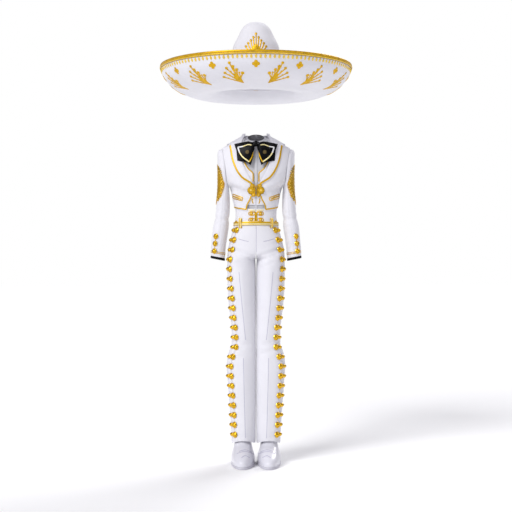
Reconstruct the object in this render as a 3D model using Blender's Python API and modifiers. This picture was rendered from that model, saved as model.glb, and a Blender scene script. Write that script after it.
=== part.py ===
"""A charro suit with its sombrero, bow tie and boots, standing as it is worn, with no wearer inside.

Units are metres. The front faces -Y, +Z is up, and the wearer's left is at +X. The origin is at the
middle of the shoulders. Each cloth panel is a thin wall laid on a shared form: the torso, a sleeve
or a trouser leg. A form gives a point for an angle round the body and a height, and each layer of
cloth lies at its own small distance from it, so the seams of neighbouring panels line up.
"""

import math

import bmesh
import bpy
import numpy as np
from mathutils import Vector

SEAM = 0.0003
HALF_SEAM = SEAM / 2
NUDGE = 0.0001

# Torso, as rings from the hips up to the top of the collar.
ROUNDNESS = 2.3
UNDERARM_Z = -0.187
SHOULDER_Z = -0.0176
UNDERARM_X = 0.115
SHOULDER_X = 0.150
ARMHOLE_HALF_DEPTH = 0.060
NECK_TOP_Z = 0.046
WAIST_SEAM_Z = -0.352
TORSO_COLUMNS = ("z", "half_width", "front", "back")
TORSO_ROWS = (
    (-0.400, 0.1120, 0.0820, 0.0980),
    (-0.352, 0.1000, 0.0770, 0.0860),
    (-0.315, 0.0930, 0.0740, 0.0760),
    (-0.290, 0.0935, 0.0745, 0.0745),
    (-0.250, 0.1010, 0.0800, 0.0770),
    (-0.215, 0.1075, 0.0900, 0.0840),
    (-0.187, 0.1150, 0.0990, 0.0900),
    (-0.140, 0.1300, 0.1050, 0.0960),
    (-0.100, 0.1300, 0.1000, 0.0970),
    (-0.060, 0.1300, 0.0910, 0.0940),
    (-0.0176, 0.1500, 0.0810, 0.0860),
    (0.000, 0.1200, 0.0750, 0.0800),
    (0.020, 0.0880, 0.0670, 0.0720),
    (0.0374, 0.0600, 0.0590, 0.0640),
    (0.060, 0.0540, 0.0560, 0.0600),
)

# Sleeve, as slanted ovals from the armhole to the cuff. The first lies in the armhole.
SLEEVE_COLUMNS = ("row", "outer_x", "outer_z", "inner_x", "inner_z", "half_depth", "y")
SLEEVE_ROWS = (
    (0, 0.1500, -0.0176, 0.1150, -0.1870, 0.0600, 0.000),
    (1, 0.1640, -0.0235, 0.1180, -0.1905, 0.0590, 0.000),
    (2, 0.1698, -0.0400, 0.1182, -0.1960, 0.0570, 0.000),
    (3, 0.1700, -0.0640, 0.1175, -0.2040, 0.0540, 0.000),
    (4, 0.1686, -0.0920, 0.1168, -0.2130, 0.0510, 0.000),
    (5, 0.1674, -0.1260, 0.1160, -0.2240, 0.0475, 0.000),
    (6, 0.1677, -0.1640, 0.1155, -0.2380, 0.0450, -0.001),
    (7, 0.1692, -0.2040, 0.1150, -0.2590, 0.0430, -0.002),
    (8, 0.1722, -0.2460, 0.1150, -0.2850, 0.0415, -0.004),
    (9, 0.1760, -0.2850, 0.1165, -0.3080, 0.0405, -0.006),
    (10, 0.1800, -0.3180, 0.1180, -0.3230, 0.0395, -0.008),
    (11, 0.1883, -0.3600, 0.1200, -0.3620, 0.0395, -0.010),
    (12, 0.1925, -0.4020, 0.1260, -0.4060, 0.0380, -0.012),
    (13, 0.1972, -0.4480, 0.1330, -0.4570, 0.0370, -0.014),
    (14, 0.1990, -0.4976, 0.1370, -0.5100, 0.0350, -0.016),
)
CUFF_BAND_ROW = 13.78
SLEEVE_END_ROW = 14.0

# Trouser leg, as level rings. Above the crotch the inner side runs past the middle and is cut there.
LEG_ROUNDNESS = 2.2
HEM_Z = -1.308
CROTCH_Z = -0.505
INSTEP_RISE = 0.015
LEG_COLUMNS = ("z", "outer", "inner", "front", "back", "y")
LEG_ROWS = (
    (-0.352, 0.1000, -0.1000, 0.0770, 0.0860, 0.000),
    (-0.385, 0.1080, -0.1060, 0.0800, 0.0960, 0.000),
    (-0.430, 0.1200, -0.0980, 0.0840, 0.1040, 0.000),
    (-0.465, 0.1265, -0.0720, 0.0860, 0.1050, 0.001),
    (-0.490, 0.1285, -0.0360, 0.0870, 0.1020, 0.002),
    (-0.505, 0.1290, 0.0004, 0.0870, 0.0980, 0.003),
    (-0.525, 0.1292, -0.0008, 0.0865, 0.0930, 0.004),
    (-0.570, 0.1290, -0.0016, 0.0850, 0.0870, 0.004),
    (-0.640, 0.1275, -0.0018, 0.0800, 0.0800, 0.003),
    (-0.720, 0.1215, -0.0018, 0.0720, 0.0730, 0.002),
    (-0.780, 0.1135, -0.0016, 0.0660, 0.0670, 0.001),
    (-0.830, 0.1100, -0.0014, 0.0620, 0.0620, 0.000),
    (-0.875, 0.1125, -0.0015, 0.0610, 0.0610, 0.001),
    (-0.905, 0.1215, -0.0017, 0.0625, 0.0660, 0.004),
    (-0.940, 0.1300, -0.0018, 0.0640, 0.0700, 0.006),
    (-0.970, 0.1320, -0.0018, 0.0645, 0.0710, 0.007),
    (-1.034, 0.1276, -0.0018, 0.0640, 0.0690, 0.007),
    (-1.157, 0.1188, -0.0016, 0.0625, 0.0650, 0.006),
    (-1.240, 0.1130, -0.0012, 0.0640, 0.0650, 0.004),
    (-1.320, 0.1100, -0.0008, 0.0660, 0.0660, 0.002),
)
# The outseam runs forward of the side, under the strip of conchas.
OUTSEAM_COLUMNS = ("z", "x")
OUTSEAM_ROWS = (
    (-0.352, 0.0790),
    (-0.375, 0.0858),
    (-0.418, 0.0972),
    (-0.462, 0.1068),
    (-0.500, 0.1128),
    (-0.540, 0.1143),
    (-0.600, 0.1100),
    (-0.680, 0.1030),
    (-0.760, 0.0962),
    (-0.838, 0.0880),
    (-0.885, 0.0905),
    (-0.925, 0.1020),
    (-0.965, 0.1100),
    (-1.010, 0.1087),
    (-1.100, 0.1016),
    (-1.190, 0.0962),
    (-1.268, 0.0933),
    (-1.320, 0.0925),
)

# The largest folds: a trough or ridge along a line seen from the front or the back.
FOLD_COLUMNS = ("face", "x0", "z0", "x1", "z1", "half_width", "rise")
FOLD_ROWS = (
    ("front", 0.098, -0.468, 0.012, -0.494, 0.011, -0.0045),
    ("front", 0.088, -0.488, 0.025, -0.512, 0.009, -0.0035),
    ("front", 0.030, -0.876, 0.105, -0.866, 0.012, -0.0040),
    ("front", 0.028, -0.915, 0.090, -0.890, 0.013, -0.0035),
    ("front", 0.062, -0.560, 0.050, -0.850, 0.012, 0.0030),
    ("front", 0.055, -0.940, 0.047, -1.290, 0.012, 0.0030),
    ("back", 0.030, -0.500, 0.095, -0.476, 0.013, -0.0040),
    ("back", 0.028, -0.862, 0.104, -0.880, 0.012, -0.0050),
    ("back", 0.030, -0.905, 0.098, -0.912, 0.012, -0.0040),
    ("back", 0.062, -0.560, 0.058, -0.840, 0.012, 0.0030),
    ("back", 0.060, -0.940, 0.055, -1.290, 0.012, 0.0030),
    ("front", 0.050, -0.205, 0.098, -0.186, 0.012, 0.0025),
    ("back", 0.020, -0.232, 0.085, -0.214, 0.013, 0.0030),
    ("back", 0.015, -0.160, 0.100, -0.120, 0.016, 0.0030),
    ("front", 0.186, -0.322, 0.150, -0.330, 0.010, -0.0030),
    ("front", 0.120, -0.326, 0.140, -0.330, 0.010, -0.0030),
    ("back", 0.184, -0.300, 0.125, -0.318, 0.012, -0.0030),
)

# Layers, as outer and inner distance from the form. Cloth is 1.2 to 1.8 mm thick.
JACKET = (0.0, -0.0016)
LAPEL = (0.0034, 0.0018)
ROLL_DIP = 0.0012
SHOULDER_EASE = 0.0020
COLLAR_FALL_EASE = 0.0032
COLLAR_CORNER = 0.92
SHOULDER_EASE_SPAN = 0.016
WAISTCOAT = (-0.0040, -0.0052)
SHIRT = (-0.0092, -0.0104)
PLACKET = (-0.0064, -0.0079)
WAISTBAND = (-0.0028, -0.0046)
TROUSER = (-0.0028, -0.0044)
ON_WAISTBAND = (-0.0001, -0.0022)
BELT_LOOP_RISE = 0.0042
LOOP_SEAT = 0.0012
TAPE = (TROUSER[0] + 0.0032, TROUSER[0] + 0.0018)
CORD = (0.0024, 0.0010)
CLASP = (0.0044, 0.0009)
FROG = (WAISTBAND[0] + 0.0042, WAISTBAND[0] + 0.0007)

# Jacket front edge, lapel edge and waistcoat edge, as x for each height.
FRONT_EDGE_COLUMNS = ("z", "jacket", "waistcoat")
FRONT_EDGE_ROWS = (
    (-0.2926, 0.0387, 0.0010),
    (-0.278, 0.0385, 0.0010),
    (-0.232, 0.0190, 0.0016),
    (-0.200, 0.0155, 0.0060),
    (-0.172, 0.0176, 0.0106),
    (-0.148, 0.0290, 0.0106),
    (-0.134, 0.0375, 0.0108),
    (-0.110, 0.0490, 0.0326),
    (-0.0805, 0.0594, 0.0493),
    (-0.040, 0.0640, 0.0560),
    (0.000, 0.0620, 0.0560),
    (0.030, 0.0530, 0.0500),
    (0.060, 0.0400, 0.0400),
)
LAPEL_EDGE_COLUMNS = ("z", "x")
LAPEL_EDGE_ROWS = (
    (-0.176, 0.0240),
    (-0.168, 0.0360),
    (-0.148, 0.0660),
    (-0.114, 0.0898),
    (-0.063, 0.1080),
    (-0.013, 0.1166),
    (0.000, 0.1200),
)
JACKET_SIDE_HEM_Z = -0.279
JACKET_CORNER_HEM_Z = -0.2926
COLLAR_BACK_Z = -0.072
LAPEL_FOOT_Z = -0.172

WAISTCOAT_POINT_Z = -0.268
WAISTCOAT_SIDE_Z = -0.262
UNDER_INSET = 0.012
UNDER_SHOULDER_DIP = 0.0020
SHIRT_TAIL_Z = -0.310
SHIRT_FRONT_TOP_Z = 0.004
SHIRT_SIDE_TOP_Z = 0.028
COLLAR_RIM_RISE = 0.003
COLLAR_RIM_OUT = 0.0010
PLACKET_HALF_WIDTH = 0.0065
PLACKET_FOOT_Z = -0.300
NECK_HALF_WIDTH = 0.036
NECK_DEPTH = 0.043
NECK_FRONT_Z = 0.012
NECK_BACK_Z = 0.050
WAISTBAND_TOP_Z = -0.2830
BELT_TOP_Z = -0.3385
BELT_FOOT_Z = -0.3545
LOOP_X = 0.0685
LOOP_WIDTH = 0.012
LOOP_TOP_Z = -0.3225
LOOP_FOOT_Z = -0.3665

# Bow tie: the edges of a tail and a wing, as x, z from the knot outward.
BOW_TAIL_TOP = ((0.0040, -0.003), (0.045, -0.016), (0.086, -0.022))
BOW_TAIL_FOOT = ((0.0060, -0.026), (0.036, -0.086), (0.081, -0.076))
BOW_WING_TOP = ((0.0092, 0.002), (0.033, 0.0085), (0.0946, -0.002))
BOW_WING_FOOT = ((0.0092, -0.020), (0.012, -0.062), (0.0224, -0.0968))
TAIL_CLEARANCE = 0.0046
TAIL_PUFF = 0.0015
WING_CLEARANCE = 0.0110
WING_PUFF = 0.0090
WING_BULGE = 0.0140
BOW_KNOT_Z = -0.003
BOW_KNOT_OUT = 0.0158
BOW_KNOT_HALF_WIDTH = 0.0088
BOW_KNOT_HALF_DEPTH = 0.0095
BOW_KNOT_HALF_HEIGHT = 0.0130

# Sombrero, as the outer line of crown and brim: radius and height.
CROWN_LINE = (
    (0.0000, 0.5377),
    (0.0300, 0.5350),
    (0.0580, 0.5150),
    (0.0814, 0.4710),
    (0.0990, 0.4356),
    (0.1040, 0.4150),
    (0.1120, 0.3700),
    (0.1260, 0.3150),
    (0.1480, 0.2620),
)
BRIM_LINE = (
    (0.1484, 0.2612),
    (0.1750, 0.2310),
    (0.2150, 0.2175),
    (0.2600, 0.2150),
    (0.3300, 0.2350),
    (0.3700, 0.2610),
    (0.4000, 0.2945),
    (0.4190, 0.3355),
)
EDGE_LINE = ((0.4185, 0.3359), (0.4215, 0.3450))
FELT = 0.003
EDGE_THICKNESS = 0.004
HAT_STEPS = 26

# Conchas down each leg, rosettes on each cuff, clasp and waist frogs.
CONCHA_COUNT = 22
CONCHA_TOP_Z = -0.3753
CONCHA_BOTTOM_Z = -1.2676
CONCHA_TAIL = 0.0235
STUD_RADIUS = 0.0140
STUD_TOP_HALF_WIDTH = 0.0050
STUD_HEIGHT = 0.0045
STRIP_HALF_WIDTH = 0.0045
ROSETTE_COUNT = 3
ROSETTE_ROWS = (12.0, 13.33)
CORD_TURN = 2.05
CLASP_EDGE = (
    (-0.2275, 0.0080),
    (-0.2190, 0.0120),
    (-0.2130, 0.0220),
    (-0.2070, 0.0330),
    (-0.2002, 0.0370),
    (-0.1950, 0.0300),
    (-0.1875, 0.0180),
    (-0.1800, 0.0215),
    (-0.1732, 0.0165),
)
FROG_EDGE = (
    (-0.3378, 0.0060),
    (-0.3345, 0.0200),
    (-0.3296, 0.0325),
    (-0.3245, 0.0200),
    (-0.3190, 0.0060),
    (-0.3120, 0.0060),
    (-0.3065, 0.0200),
    (-0.3014, 0.0320),
    (-0.2965, 0.0200),
    (-0.2915, 0.0060),
)
WELT_OUTER = (0.1000, -0.2165)
WELT_INNER = (0.0605, -0.2300)
WELT_HEIGHT = 0.0150

# Boots.
BOOT_X = 0.0572
SOLE_Z = -1.396
SOLE_THICKNESS = 0.010
BOOT_COLUMNS = ("z", "half_width", "toe", "heel")
BOOT_ROWS = (
    (-1.3857, 0.0500, 0.1800, 0.0700),
    (-1.3720, 0.0512, 0.1800, 0.0710),
    (-1.3560, 0.0490, 0.1660, 0.0690),
    (-1.3420, 0.0450, 0.1360, 0.0650),
    (-1.3280, 0.0410, 0.0980, 0.0610),
    (-1.3130, 0.0380, 0.0620, 0.0560),
    (-1.2960, 0.0360, 0.0490, 0.0530),
    (-1.2200, 0.0350, 0.0460, 0.0510),
)
BOOT_WALL = 0.002
BOOT_STEPS = 12
SOLE_HALF_WIDTH = 0.0517
SOLE_TOE = 0.183
SOLE_HEEL = 0.072

WHITE = (0.90, 0.90, 0.93)
SHIRT_GREY = (0.78, 0.78, 0.80)
GOLD = (0.80, 0.56, 0.10)
BLACK = (0.012, 0.012, 0.014)
BOOT_WHITE = (0.84, 0.84, 0.88)


def clear_scene():
    for item in list(bpy.data.objects):
        bpy.data.objects.remove(item, do_unlink=True)


def new_collection(name, in_render=True):
    made = bpy.data.collections.new(name)
    made.hide_render = not in_render
    bpy.context.scene.collection.children.link(made)
    return made


def new_material(name, colour, roughness, metallic=0.0):
    made = bpy.data.materials.new(name)
    made.use_nodes = True
    shader = made.node_tree.nodes["Principled BSDF"]
    shader.inputs["Base Color"].default_value = (*colour, 1.0)
    shader.inputs["Roughness"].default_value = roughness
    shader.inputs["Metallic"].default_value = metallic
    return made


def smooth_curve(keys, values):
    """A curve through the points that never overshoots them."""
    order = np.argsort(keys)
    x = np.array(keys, float)[order]
    y = np.array(values, float)[order]
    slope = np.diff(y) / np.diff(x)
    tangent = np.concatenate([slope[:1], np.zeros(len(x) - 2), slope[-1:]])
    for i in range(1, len(x) - 1):
        before, after = slope[i - 1], slope[i]
        if before * after > 0:
            tangent[i] = 2 * before * after / (before + after)

    def value(key):
        key = min(max(key, x[0]), x[-1])
        i = min(max(int(np.searchsorted(x, key)) - 1, 0), len(x) - 2)
        span = x[i + 1] - x[i]
        t = (key - x[i]) / span
        start = (1 + 2 * t) * (1 - t) ** 2 * y[i] + t * (1 - t) ** 2 * span * tangent[i]
        end = t * t * (3 - 2 * t) * y[i + 1] + t * t * (t - 1) * span * tangent[i + 1]
        return start + end

    return value


def read_table(columns, rows):
    """A smooth curve for each column, over the first one."""
    keys = [row[0] for row in rows]
    curves = {}
    for index, name in enumerate(columns[1:], start=1):
        curves[name] = smooth_curve(keys, [row[index] for row in rows])
    return curves


TORSO = read_table(TORSO_COLUMNS, TORSO_ROWS)
SLEEVE = read_table(SLEEVE_COLUMNS, SLEEVE_ROWS)
LEG = read_table(LEG_COLUMNS, LEG_ROWS)
OUTSEAM = read_table(OUTSEAM_COLUMNS, OUTSEAM_ROWS)
FRONT_EDGE = read_table(FRONT_EDGE_COLUMNS, FRONT_EDGE_ROWS)
LAPEL_EDGE = read_table(LAPEL_EDGE_COLUMNS, LAPEL_EDGE_ROWS)
BOOT = read_table(BOOT_COLUMNS, BOOT_ROWS)


def signed_power(value, power):
    return math.copysign(abs(value) ** power, value)


def oval(half_width, front, back, angle, roundness):
    """A point of a rounded oval: angle 0 is the front, a quarter turn is +X."""
    x = half_width * signed_power(math.sin(angle), 2 / roundness)
    depth = front if math.cos(angle) > 0 else back
    return x, -depth * signed_power(math.cos(angle), 2 / roundness)


def armhole_x(z):
    """The armhole seam seen from the front: nearly straight, bowed outward low down."""
    rise = (z - UNDERARM_Z) / (SHOULDER_Z - UNDERARM_Z)
    bow = 2 * rise * (1 - rise) ** 4
    return UNDERARM_X + (SHOULDER_X - UNDERARM_X) * (rise + bow)


def armhole_y(z):
    middle = (UNDERARM_Z + SHOULDER_Z) / 2
    half = (SHOULDER_Z - UNDERARM_Z) / 2
    across = max(0.0, 1 - ((z - middle) / half) ** 2)
    return ARMHOLE_HALF_DEPTH * math.sqrt(across)


def torso_half_width(z):
    """Between underarm and shoulder the ring is as wide as it takes to pass through the armhole."""
    if not UNDERARM_Z < z < SHOULDER_Z:
        return TORSO["half_width"](z)
    depth = (TORSO["front"](z) + TORSO["back"](z)) / 2
    inside = 1 - (armhole_y(z) / depth) ** ROUNDNESS
    return armhole_x(z) / inside ** (1 / ROUNDNESS)


def torso_place(angle, z):
    x, y = oval(torso_half_width(z), TORSO["front"](z), TORSO["back"](z), angle, ROUNDNESS)
    return Vector((x, y, z))


def sleeve_place(turn, row):
    """A point of the left sleeve: turn 0 is the inner side, a quarter turn is the front."""
    outer = Vector((SLEEVE["outer_x"](row), SLEEVE["y"](row), SLEEVE["outer_z"](row)))
    inner = Vector((SLEEVE["inner_x"](row), SLEEVE["y"](row), SLEEVE["inner_z"](row)))
    place = (outer + inner) / 2 + (inner - outer) / 2 * math.cos(turn)
    place.y -= SLEEVE["half_depth"](row) * math.sin(turn)
    rise = (place.z - UNDERARM_Z) / (SHOULDER_Z - UNDERARM_Z)
    rise = min(max(rise, 0.0), 1.0)
    near = max(0.0, 1 - row / 2)
    place.x += near * (2 * rise * (1 - rise) ** 4 * (SHOULDER_X - UNDERARM_X) + 1.6 * SEAM)
    return place


def leg_ring(z):
    outer, inner = LEG["outer"](z), LEG["inner"](z)
    return (outer + inner) / 2, (outer - inner) / 2


def leg_place(angle, z):
    middle, half = leg_ring(z)
    x, y = oval(half, LEG["front"](z), LEG["back"](z), angle, LEG_ROUNDNESS)
    return Vector((middle + x, y + LEG["y"](z), z))


def boot_place(angle, z):
    x, y = oval(BOOT["half_width"](z), BOOT["toe"](z), BOOT["heel"](z), angle, LEG_ROUNDNESS)
    return Vector((BOOT_X + x, y, z))


def fold_rise(point):
    """How far the largest folds move the cloth in or out here."""
    total = 0.0
    for row in FOLD_ROWS:
        fold = dict(zip(FOLD_COLUMNS, row))
        if (fold["face"] == "front") != (point.y < 0):
            continue
        start = np.array([fold["x0"], fold["z0"]])
        along = np.array([fold["x1"], fold["z1"]]) - start
        here = np.array([point.x, point.z]) - start
        t = min(max(float(here @ along / (along @ along)), 0.0), 1.0)
        distance = float(np.linalg.norm(here - along * t))
        total += fold["rise"] * math.exp(-((distance / fold["half_width"]) ** 2))
    return total


def lifted(place, u, v, lift, turned=1, folded=True):
    """The form's point moved out along its normal by the layer's lift and the folds."""
    point = place(u, v)
    along_u = place(u + NUDGE, v) - place(u - NUDGE, v)
    along_v = place(u, v + NUDGE) - place(u, v - NUDGE)
    normal = along_u.cross(along_v).normalized() * turned
    return point + normal * (lift + (fold_rise(point) if folded else 0.0))


def on_torso(angle, z, lift):
    return lifted(torso_place, angle, z, lift)


def under_jacket(angle, z, lift):
    """A layer hidden by the jacket: it has no folds and lies deeper at the point of the shoulder."""
    dip = UNDER_SHOULDER_DIP * math.exp(-(((z - SHOULDER_Z) / SHOULDER_EASE_SPAN) ** 2))
    return lifted(torso_place, angle, z, lift - dip, folded=False)


def on_leg(angle, z, lift):
    return lifted(leg_place, angle, z, lift)


def on_sleeve(turn, row, lift):
    return lifted(sleeve_place, turn, row, lift, -1)


def angle_at(x, half_width, roundness=ROUNDNESS):
    """The angle at which an oval of this half width has this x, on its front half."""
    return math.asin(signed_power(max(-1.0, min(1.0, x / half_width)), roundness / 2))


def side_angle(depth, gap=HALF_SEAM, roundness=ROUNDNESS):
    """Just short of the side, leaving half a seam's gap."""
    return math.acos((gap / depth) ** (roundness / 2))


def spread(start, end, count):
    return [start + (end - start) * i / (count - 1) for i in range(count)]


def add_mesh(name, bm, material, collection):
    bmesh.ops.recalc_face_normals(bm, faces=bm.faces)
    mesh = bpy.data.meshes.new(name)
    bm.to_mesh(mesh)
    bm.free()
    mesh.materials.append(material)
    mesh.shade_smooth()
    mesh.set_sharp_from_angle(angle=math.radians(40))
    made = bpy.data.objects.new(name, mesh)
    collection.objects.link(made)
    return made


def wall(name, place, columns, rows, layer, material, collection, mirrored=False, ring=False):
    """A panel of cloth: place(u, v, lift) on a grid, at the layer's outer and inner lift."""
    bm = bmesh.new()
    sign = -1 if mirrored else 1
    sheets = []
    for lift in layer:
        sheet = []
        for v in rows:
            line = [place(u, v, lift) for u in columns]
            sheet.append([bm.verts.new((sign * p.x, p.y, p.z)) for p in line])
        sheets.append(sheet)
    outer, inner = sheets
    count = len(columns)
    last = count if ring else count - 1
    for r in range(len(rows) - 1):
        for c in range(last):
            d = (c + 1) % count
            bm.faces.new((outer[r][c], outer[r][d], outer[r + 1][d], outer[r + 1][c]))
            bm.faces.new((inner[r][c], inner[r + 1][c], inner[r + 1][d], inner[r][d]))
    for c in range(last):
        d = (c + 1) % count
        bm.faces.new((outer[0][c], inner[0][c], inner[0][d], outer[0][d]))
        bm.faces.new((outer[-1][c], outer[-1][d], inner[-1][d], inner[-1][c]))
    if not ring:
        for r in range(len(rows) - 1):
            bm.faces.new((outer[r][0], outer[r + 1][0], inner[r + 1][0], inner[r][0]))
            bm.faces.new((outer[r][-1], inner[r][-1], inner[r + 1][-1], outer[r + 1][-1]))
    return add_mesh(name, bm, material, collection)


def both_sides(name, place, columns, rows, layer, material, collection, ring=False):
    for side, mirrored in (("left", False), ("right", True)):
        wall(f"{name}_{side}", place, columns, rows, layer, material, collection, mirrored, ring)


def armhole_rows(count):
    """Heights up the armhole, evenly spaced round its oval, from underarm to shoulder."""
    middle = (UNDERARM_Z + SHOULDER_Z) / 2
    half = (SHOULDER_Z - UNDERARM_Z) / 2
    return [middle - half * math.cos(math.pi * i / (count - 1)) for i in range(count)]


def front_limit(z, inset=0.0):
    """The angle at which a torso front stops: at the side seam, the armhole or the shoulder seam."""
    side = side_angle(TORSO["front"](z))
    if UNDERARM_Z < z < SHOULDER_Z:
        side = min(side, angle_at(armhole_x(z) - inset, torso_half_width(z)))
    return side


def back_limit(z, inset=0.0):
    side = side_angle(TORSO["back"](z))
    if UNDERARM_Z < z < SHOULDER_Z:
        side = min(side, angle_at(armhole_x(z) - inset, torso_half_width(z)))
    return side


ARMHOLE_STATIONS = 7
ABOVE_ARMHOLE = [-0.009, 0.000, 0.018, 0.034]
LOW_TORSO = [1.0, 0.66, 0.33]


def jacket_heights(hem_z):
    """Heights from hem to collar. The hem's own height scales the part below the underarm."""
    low = [UNDERARM_Z + (hem_z - UNDERARM_Z) * share for share in LOW_TORSO]
    return low + armhole_rows(ARMHOLE_STATIONS) + ABOVE_ARMHOLE + [NECK_TOP_Z]


def jacket_front(u, row, lift):
    side_heights = jacket_heights(JACKET_SIDE_HEM_Z)
    corner_heights = jacket_heights(JACKET_CORNER_HEM_Z)
    z = corner_heights[row] + (side_heights[row] - corner_heights[row]) * u
    start = angle_at(FRONT_EDGE["jacket"](z), torso_half_width(z))
    return on_torso(start + (front_limit(z) - start) * u, z, lift)


def jacket_back(u, row, lift):
    z = jacket_heights(JACKET_SIDE_HEM_Z)[row]
    return on_torso(math.pi - u * back_limit(z), z, lift)


def build_jacket(white, collection):
    rows = range(len(jacket_heights(0)))
    both_sides("jacket_front", jacket_front, spread(0, 1, 7), rows, JACKET, white, collection)
    wall("jacket_back", jacket_back, spread(-1, 1, 13), rows, JACKET, white, collection)


def lapel(u, z, lift):
    start = angle_at(FRONT_EDGE["jacket"](z), torso_half_width(z))
    end = side_angle(TORSO["front"](z))
    if z < 0:
        end = min(end, angle_at(LAPEL_EDGE["x"](z), torso_half_width(z)))
    return on_torso(start + (end - start) * u, z, lift - ROLL_DIP * (1 - u) ** 2 + shoulder_ease(z))


def shoulder_ease(z):
    """The collar stands a little off the slope of the shoulder."""
    return SHOULDER_EASE * math.exp(-((z / SHOULDER_EASE_SPAN) ** 2))


def collar_back(u, level, lift):
    """Heights down to the shoulder line, then negative shares of the way to the curved lower edge."""
    side = side_angle(TORSO["back"](0))
    turn = abs(u) * side
    z = level
    out = shoulder_ease(z)
    if level < 0:
        z = -level * COLLAR_BACK_Z * (1 - COLLAR_CORNER * abs(u) ** 1.6)
        foot = min(side, angle_at(abs(u) * LAPEL_EDGE["x"](0), torso_half_width(z)))
        turn += (foot - turn) * -level
        out += COLLAR_FALL_EASE * min(1.0, -4 * level)
    return on_torso(math.pi - math.copysign(turn, u), z, lift + out)


def build_collar(white, collection):
    heights = [LAPEL_FOOT_Z, -0.158, -0.1446, -0.124, -0.1023, -0.081, -0.060]
    heights += [-0.029, SHOULDER_Z] + ABOVE_ARMHOLE + [NECK_TOP_Z]
    both_sides("lapel", lapel, spread(0, 1, 7), heights, LAPEL, white, collection)
    rows = [NECK_TOP_Z] + ABOVE_ARMHOLE[:0:-1] + [-0.25, -0.5, -0.75, -1]
    wall("collar_back", collar_back, spread(-1, 1, 13), rows, LAPEL, white, collection)


def build_sleeves(white, black, collection):
    quarter = math.pi / 2
    gap = HALF_SEAM / 0.05
    rows = [0, 1, 2, 3.4, 5, 6.5, 8, 9.2, 10, 10.8, 12, 13, CUFF_BAND_ROW]
    under = spread(-quarter + gap, quarter - gap, 7)
    upper = spread(quarter + gap, 3 * quarter - gap, 7)
    both_sides("sleeve_under", on_sleeve, under, rows, JACKET, white, collection)
    both_sides("sleeve_upper", on_sleeve, upper, rows, JACKET, white, collection)
    band = [CUFF_BAND_ROW + 0.008, SLEEVE_END_ROW]
    turns = [2 * math.pi * i / 14 for i in range(14)]
    both_sides("cuff_band", on_sleeve, turns, band, (0.0006, -0.0014), black, collection, ring=True)


def waistcoat_heights(hem_z):
    low = [UNDERARM_Z + (hem_z - UNDERARM_Z) * share for share in (1.0, 0.5)]
    return low + armhole_rows(ARMHOLE_STATIONS) + [-0.009, 0.000, 0.026]


def waistcoat_front(u, row, lift):
    point_heights = waistcoat_heights(WAISTCOAT_POINT_Z)
    side_heights = waistcoat_heights(WAISTCOAT_SIDE_Z)
    z = point_heights[row] + (side_heights[row] - point_heights[row]) * u
    start = angle_at(FRONT_EDGE["waistcoat"](z), torso_half_width(z))
    return under_jacket(start + (front_limit(z, UNDER_INSET) - start) * u, z, lift)


def waistcoat_back(u, row, lift):
    z = waistcoat_heights(WAISTCOAT_SIDE_Z)[row]
    return under_jacket(math.pi - u * back_limit(z, UNDER_INSET), z, lift)


def build_waistcoat(white, collection):
    rows = range(len(waistcoat_heights(0)))
    both_sides("waistcoat_front", waistcoat_front, spread(0, 1, 6), rows, WAISTCOAT, white, collection)
    wall("waistcoat_back", waistcoat_back, spread(-1, 1, 13), rows, WAISTCOAT, white, collection)


def shirt_heights(top_z):
    heights = [SHIRT_TAIL_Z, -0.255] + armhole_rows(ARMHOLE_STATIONS)
    return heights + [SHOULDER_Z + (top_z - SHOULDER_Z) * share for share in (0.6, 1.0)]


def shirt_neckline(angle):
    """The shirt's top edge dips at the front of the neck."""
    if math.cos(angle) < 0:
        return SHIRT_SIDE_TOP_Z
    return SHIRT_FRONT_TOP_Z + (SHIRT_SIDE_TOP_Z - SHIRT_FRONT_TOP_Z) * math.sin(angle) ** 2


def shirt_front(u, row, lift):
    level = shirt_heights(SHIRT_SIDE_TOP_Z)[row]
    start = angle_at(HALF_SEAM, torso_half_width(level))
    angle = start + (front_limit(level, UNDER_INSET) - start) * u
    z = shirt_heights(shirt_neckline(angle))[row]
    return under_jacket(angle, z, lift)


def shirt_back(u, row, lift):
    z = shirt_heights(SHIRT_SIDE_TOP_Z)[row]
    return under_jacket(math.pi - u * back_limit(z, UNDER_INSET), z, lift)


def placket(x, z, lift):
    return under_jacket(angle_at(x, torso_half_width(z)), z, lift)


def shirt_collar(angle, down, lift):
    """One half of the turned-down collar: from the neck ring out to the shirt's neckline."""
    x, y = oval(NECK_HALF_WIDTH, NECK_DEPTH, NECK_DEPTH, angle, 2)
    neck = Vector((x, y, NECK_FRONT_Z + (NECK_BACK_Z - NECK_FRONT_Z) * (1 - math.cos(angle)) / 2))
    rim = under_jacket(angle, shirt_neckline(angle) + COLLAR_RIM_RISE, SHIRT[0] + COLLAR_RIM_OUT)
    point = neck + (rim - neck) * down
    return point + Vector((0, 0, lift + 0.002 * math.sin(math.pi * down)))


def build_shirt(cloth, collection):
    rows = range(len(shirt_heights(0)))
    both_sides("shirt_front", shirt_front, spread(0, 1, 6), rows, SHIRT, cloth, collection)
    wall("shirt_back", shirt_back, spread(-1, 1, 13), rows, SHIRT, cloth, collection)
    across = (-PLACKET_HALF_WIDTH, 0, PLACKET_HALF_WIDTH)
    heights = spread(PLACKET_FOOT_Z, -0.010, 8)
    wall("shirt_placket", placket, across, heights, PLACKET, cloth, collection)
    turns = spread(0.12, math.pi - 0.01, 9)
    both_sides("shirt_collar", shirt_collar, turns, (0, 0.5, 1), (0.0013, 0), cloth, collection)


def front_surface_y(x, z, lift):
    """How far forward the torso's front lies behind this place."""
    half = torso_half_width(z)
    return on_torso(angle_at(min(x, half * 0.98), half), z, lift).y


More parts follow.
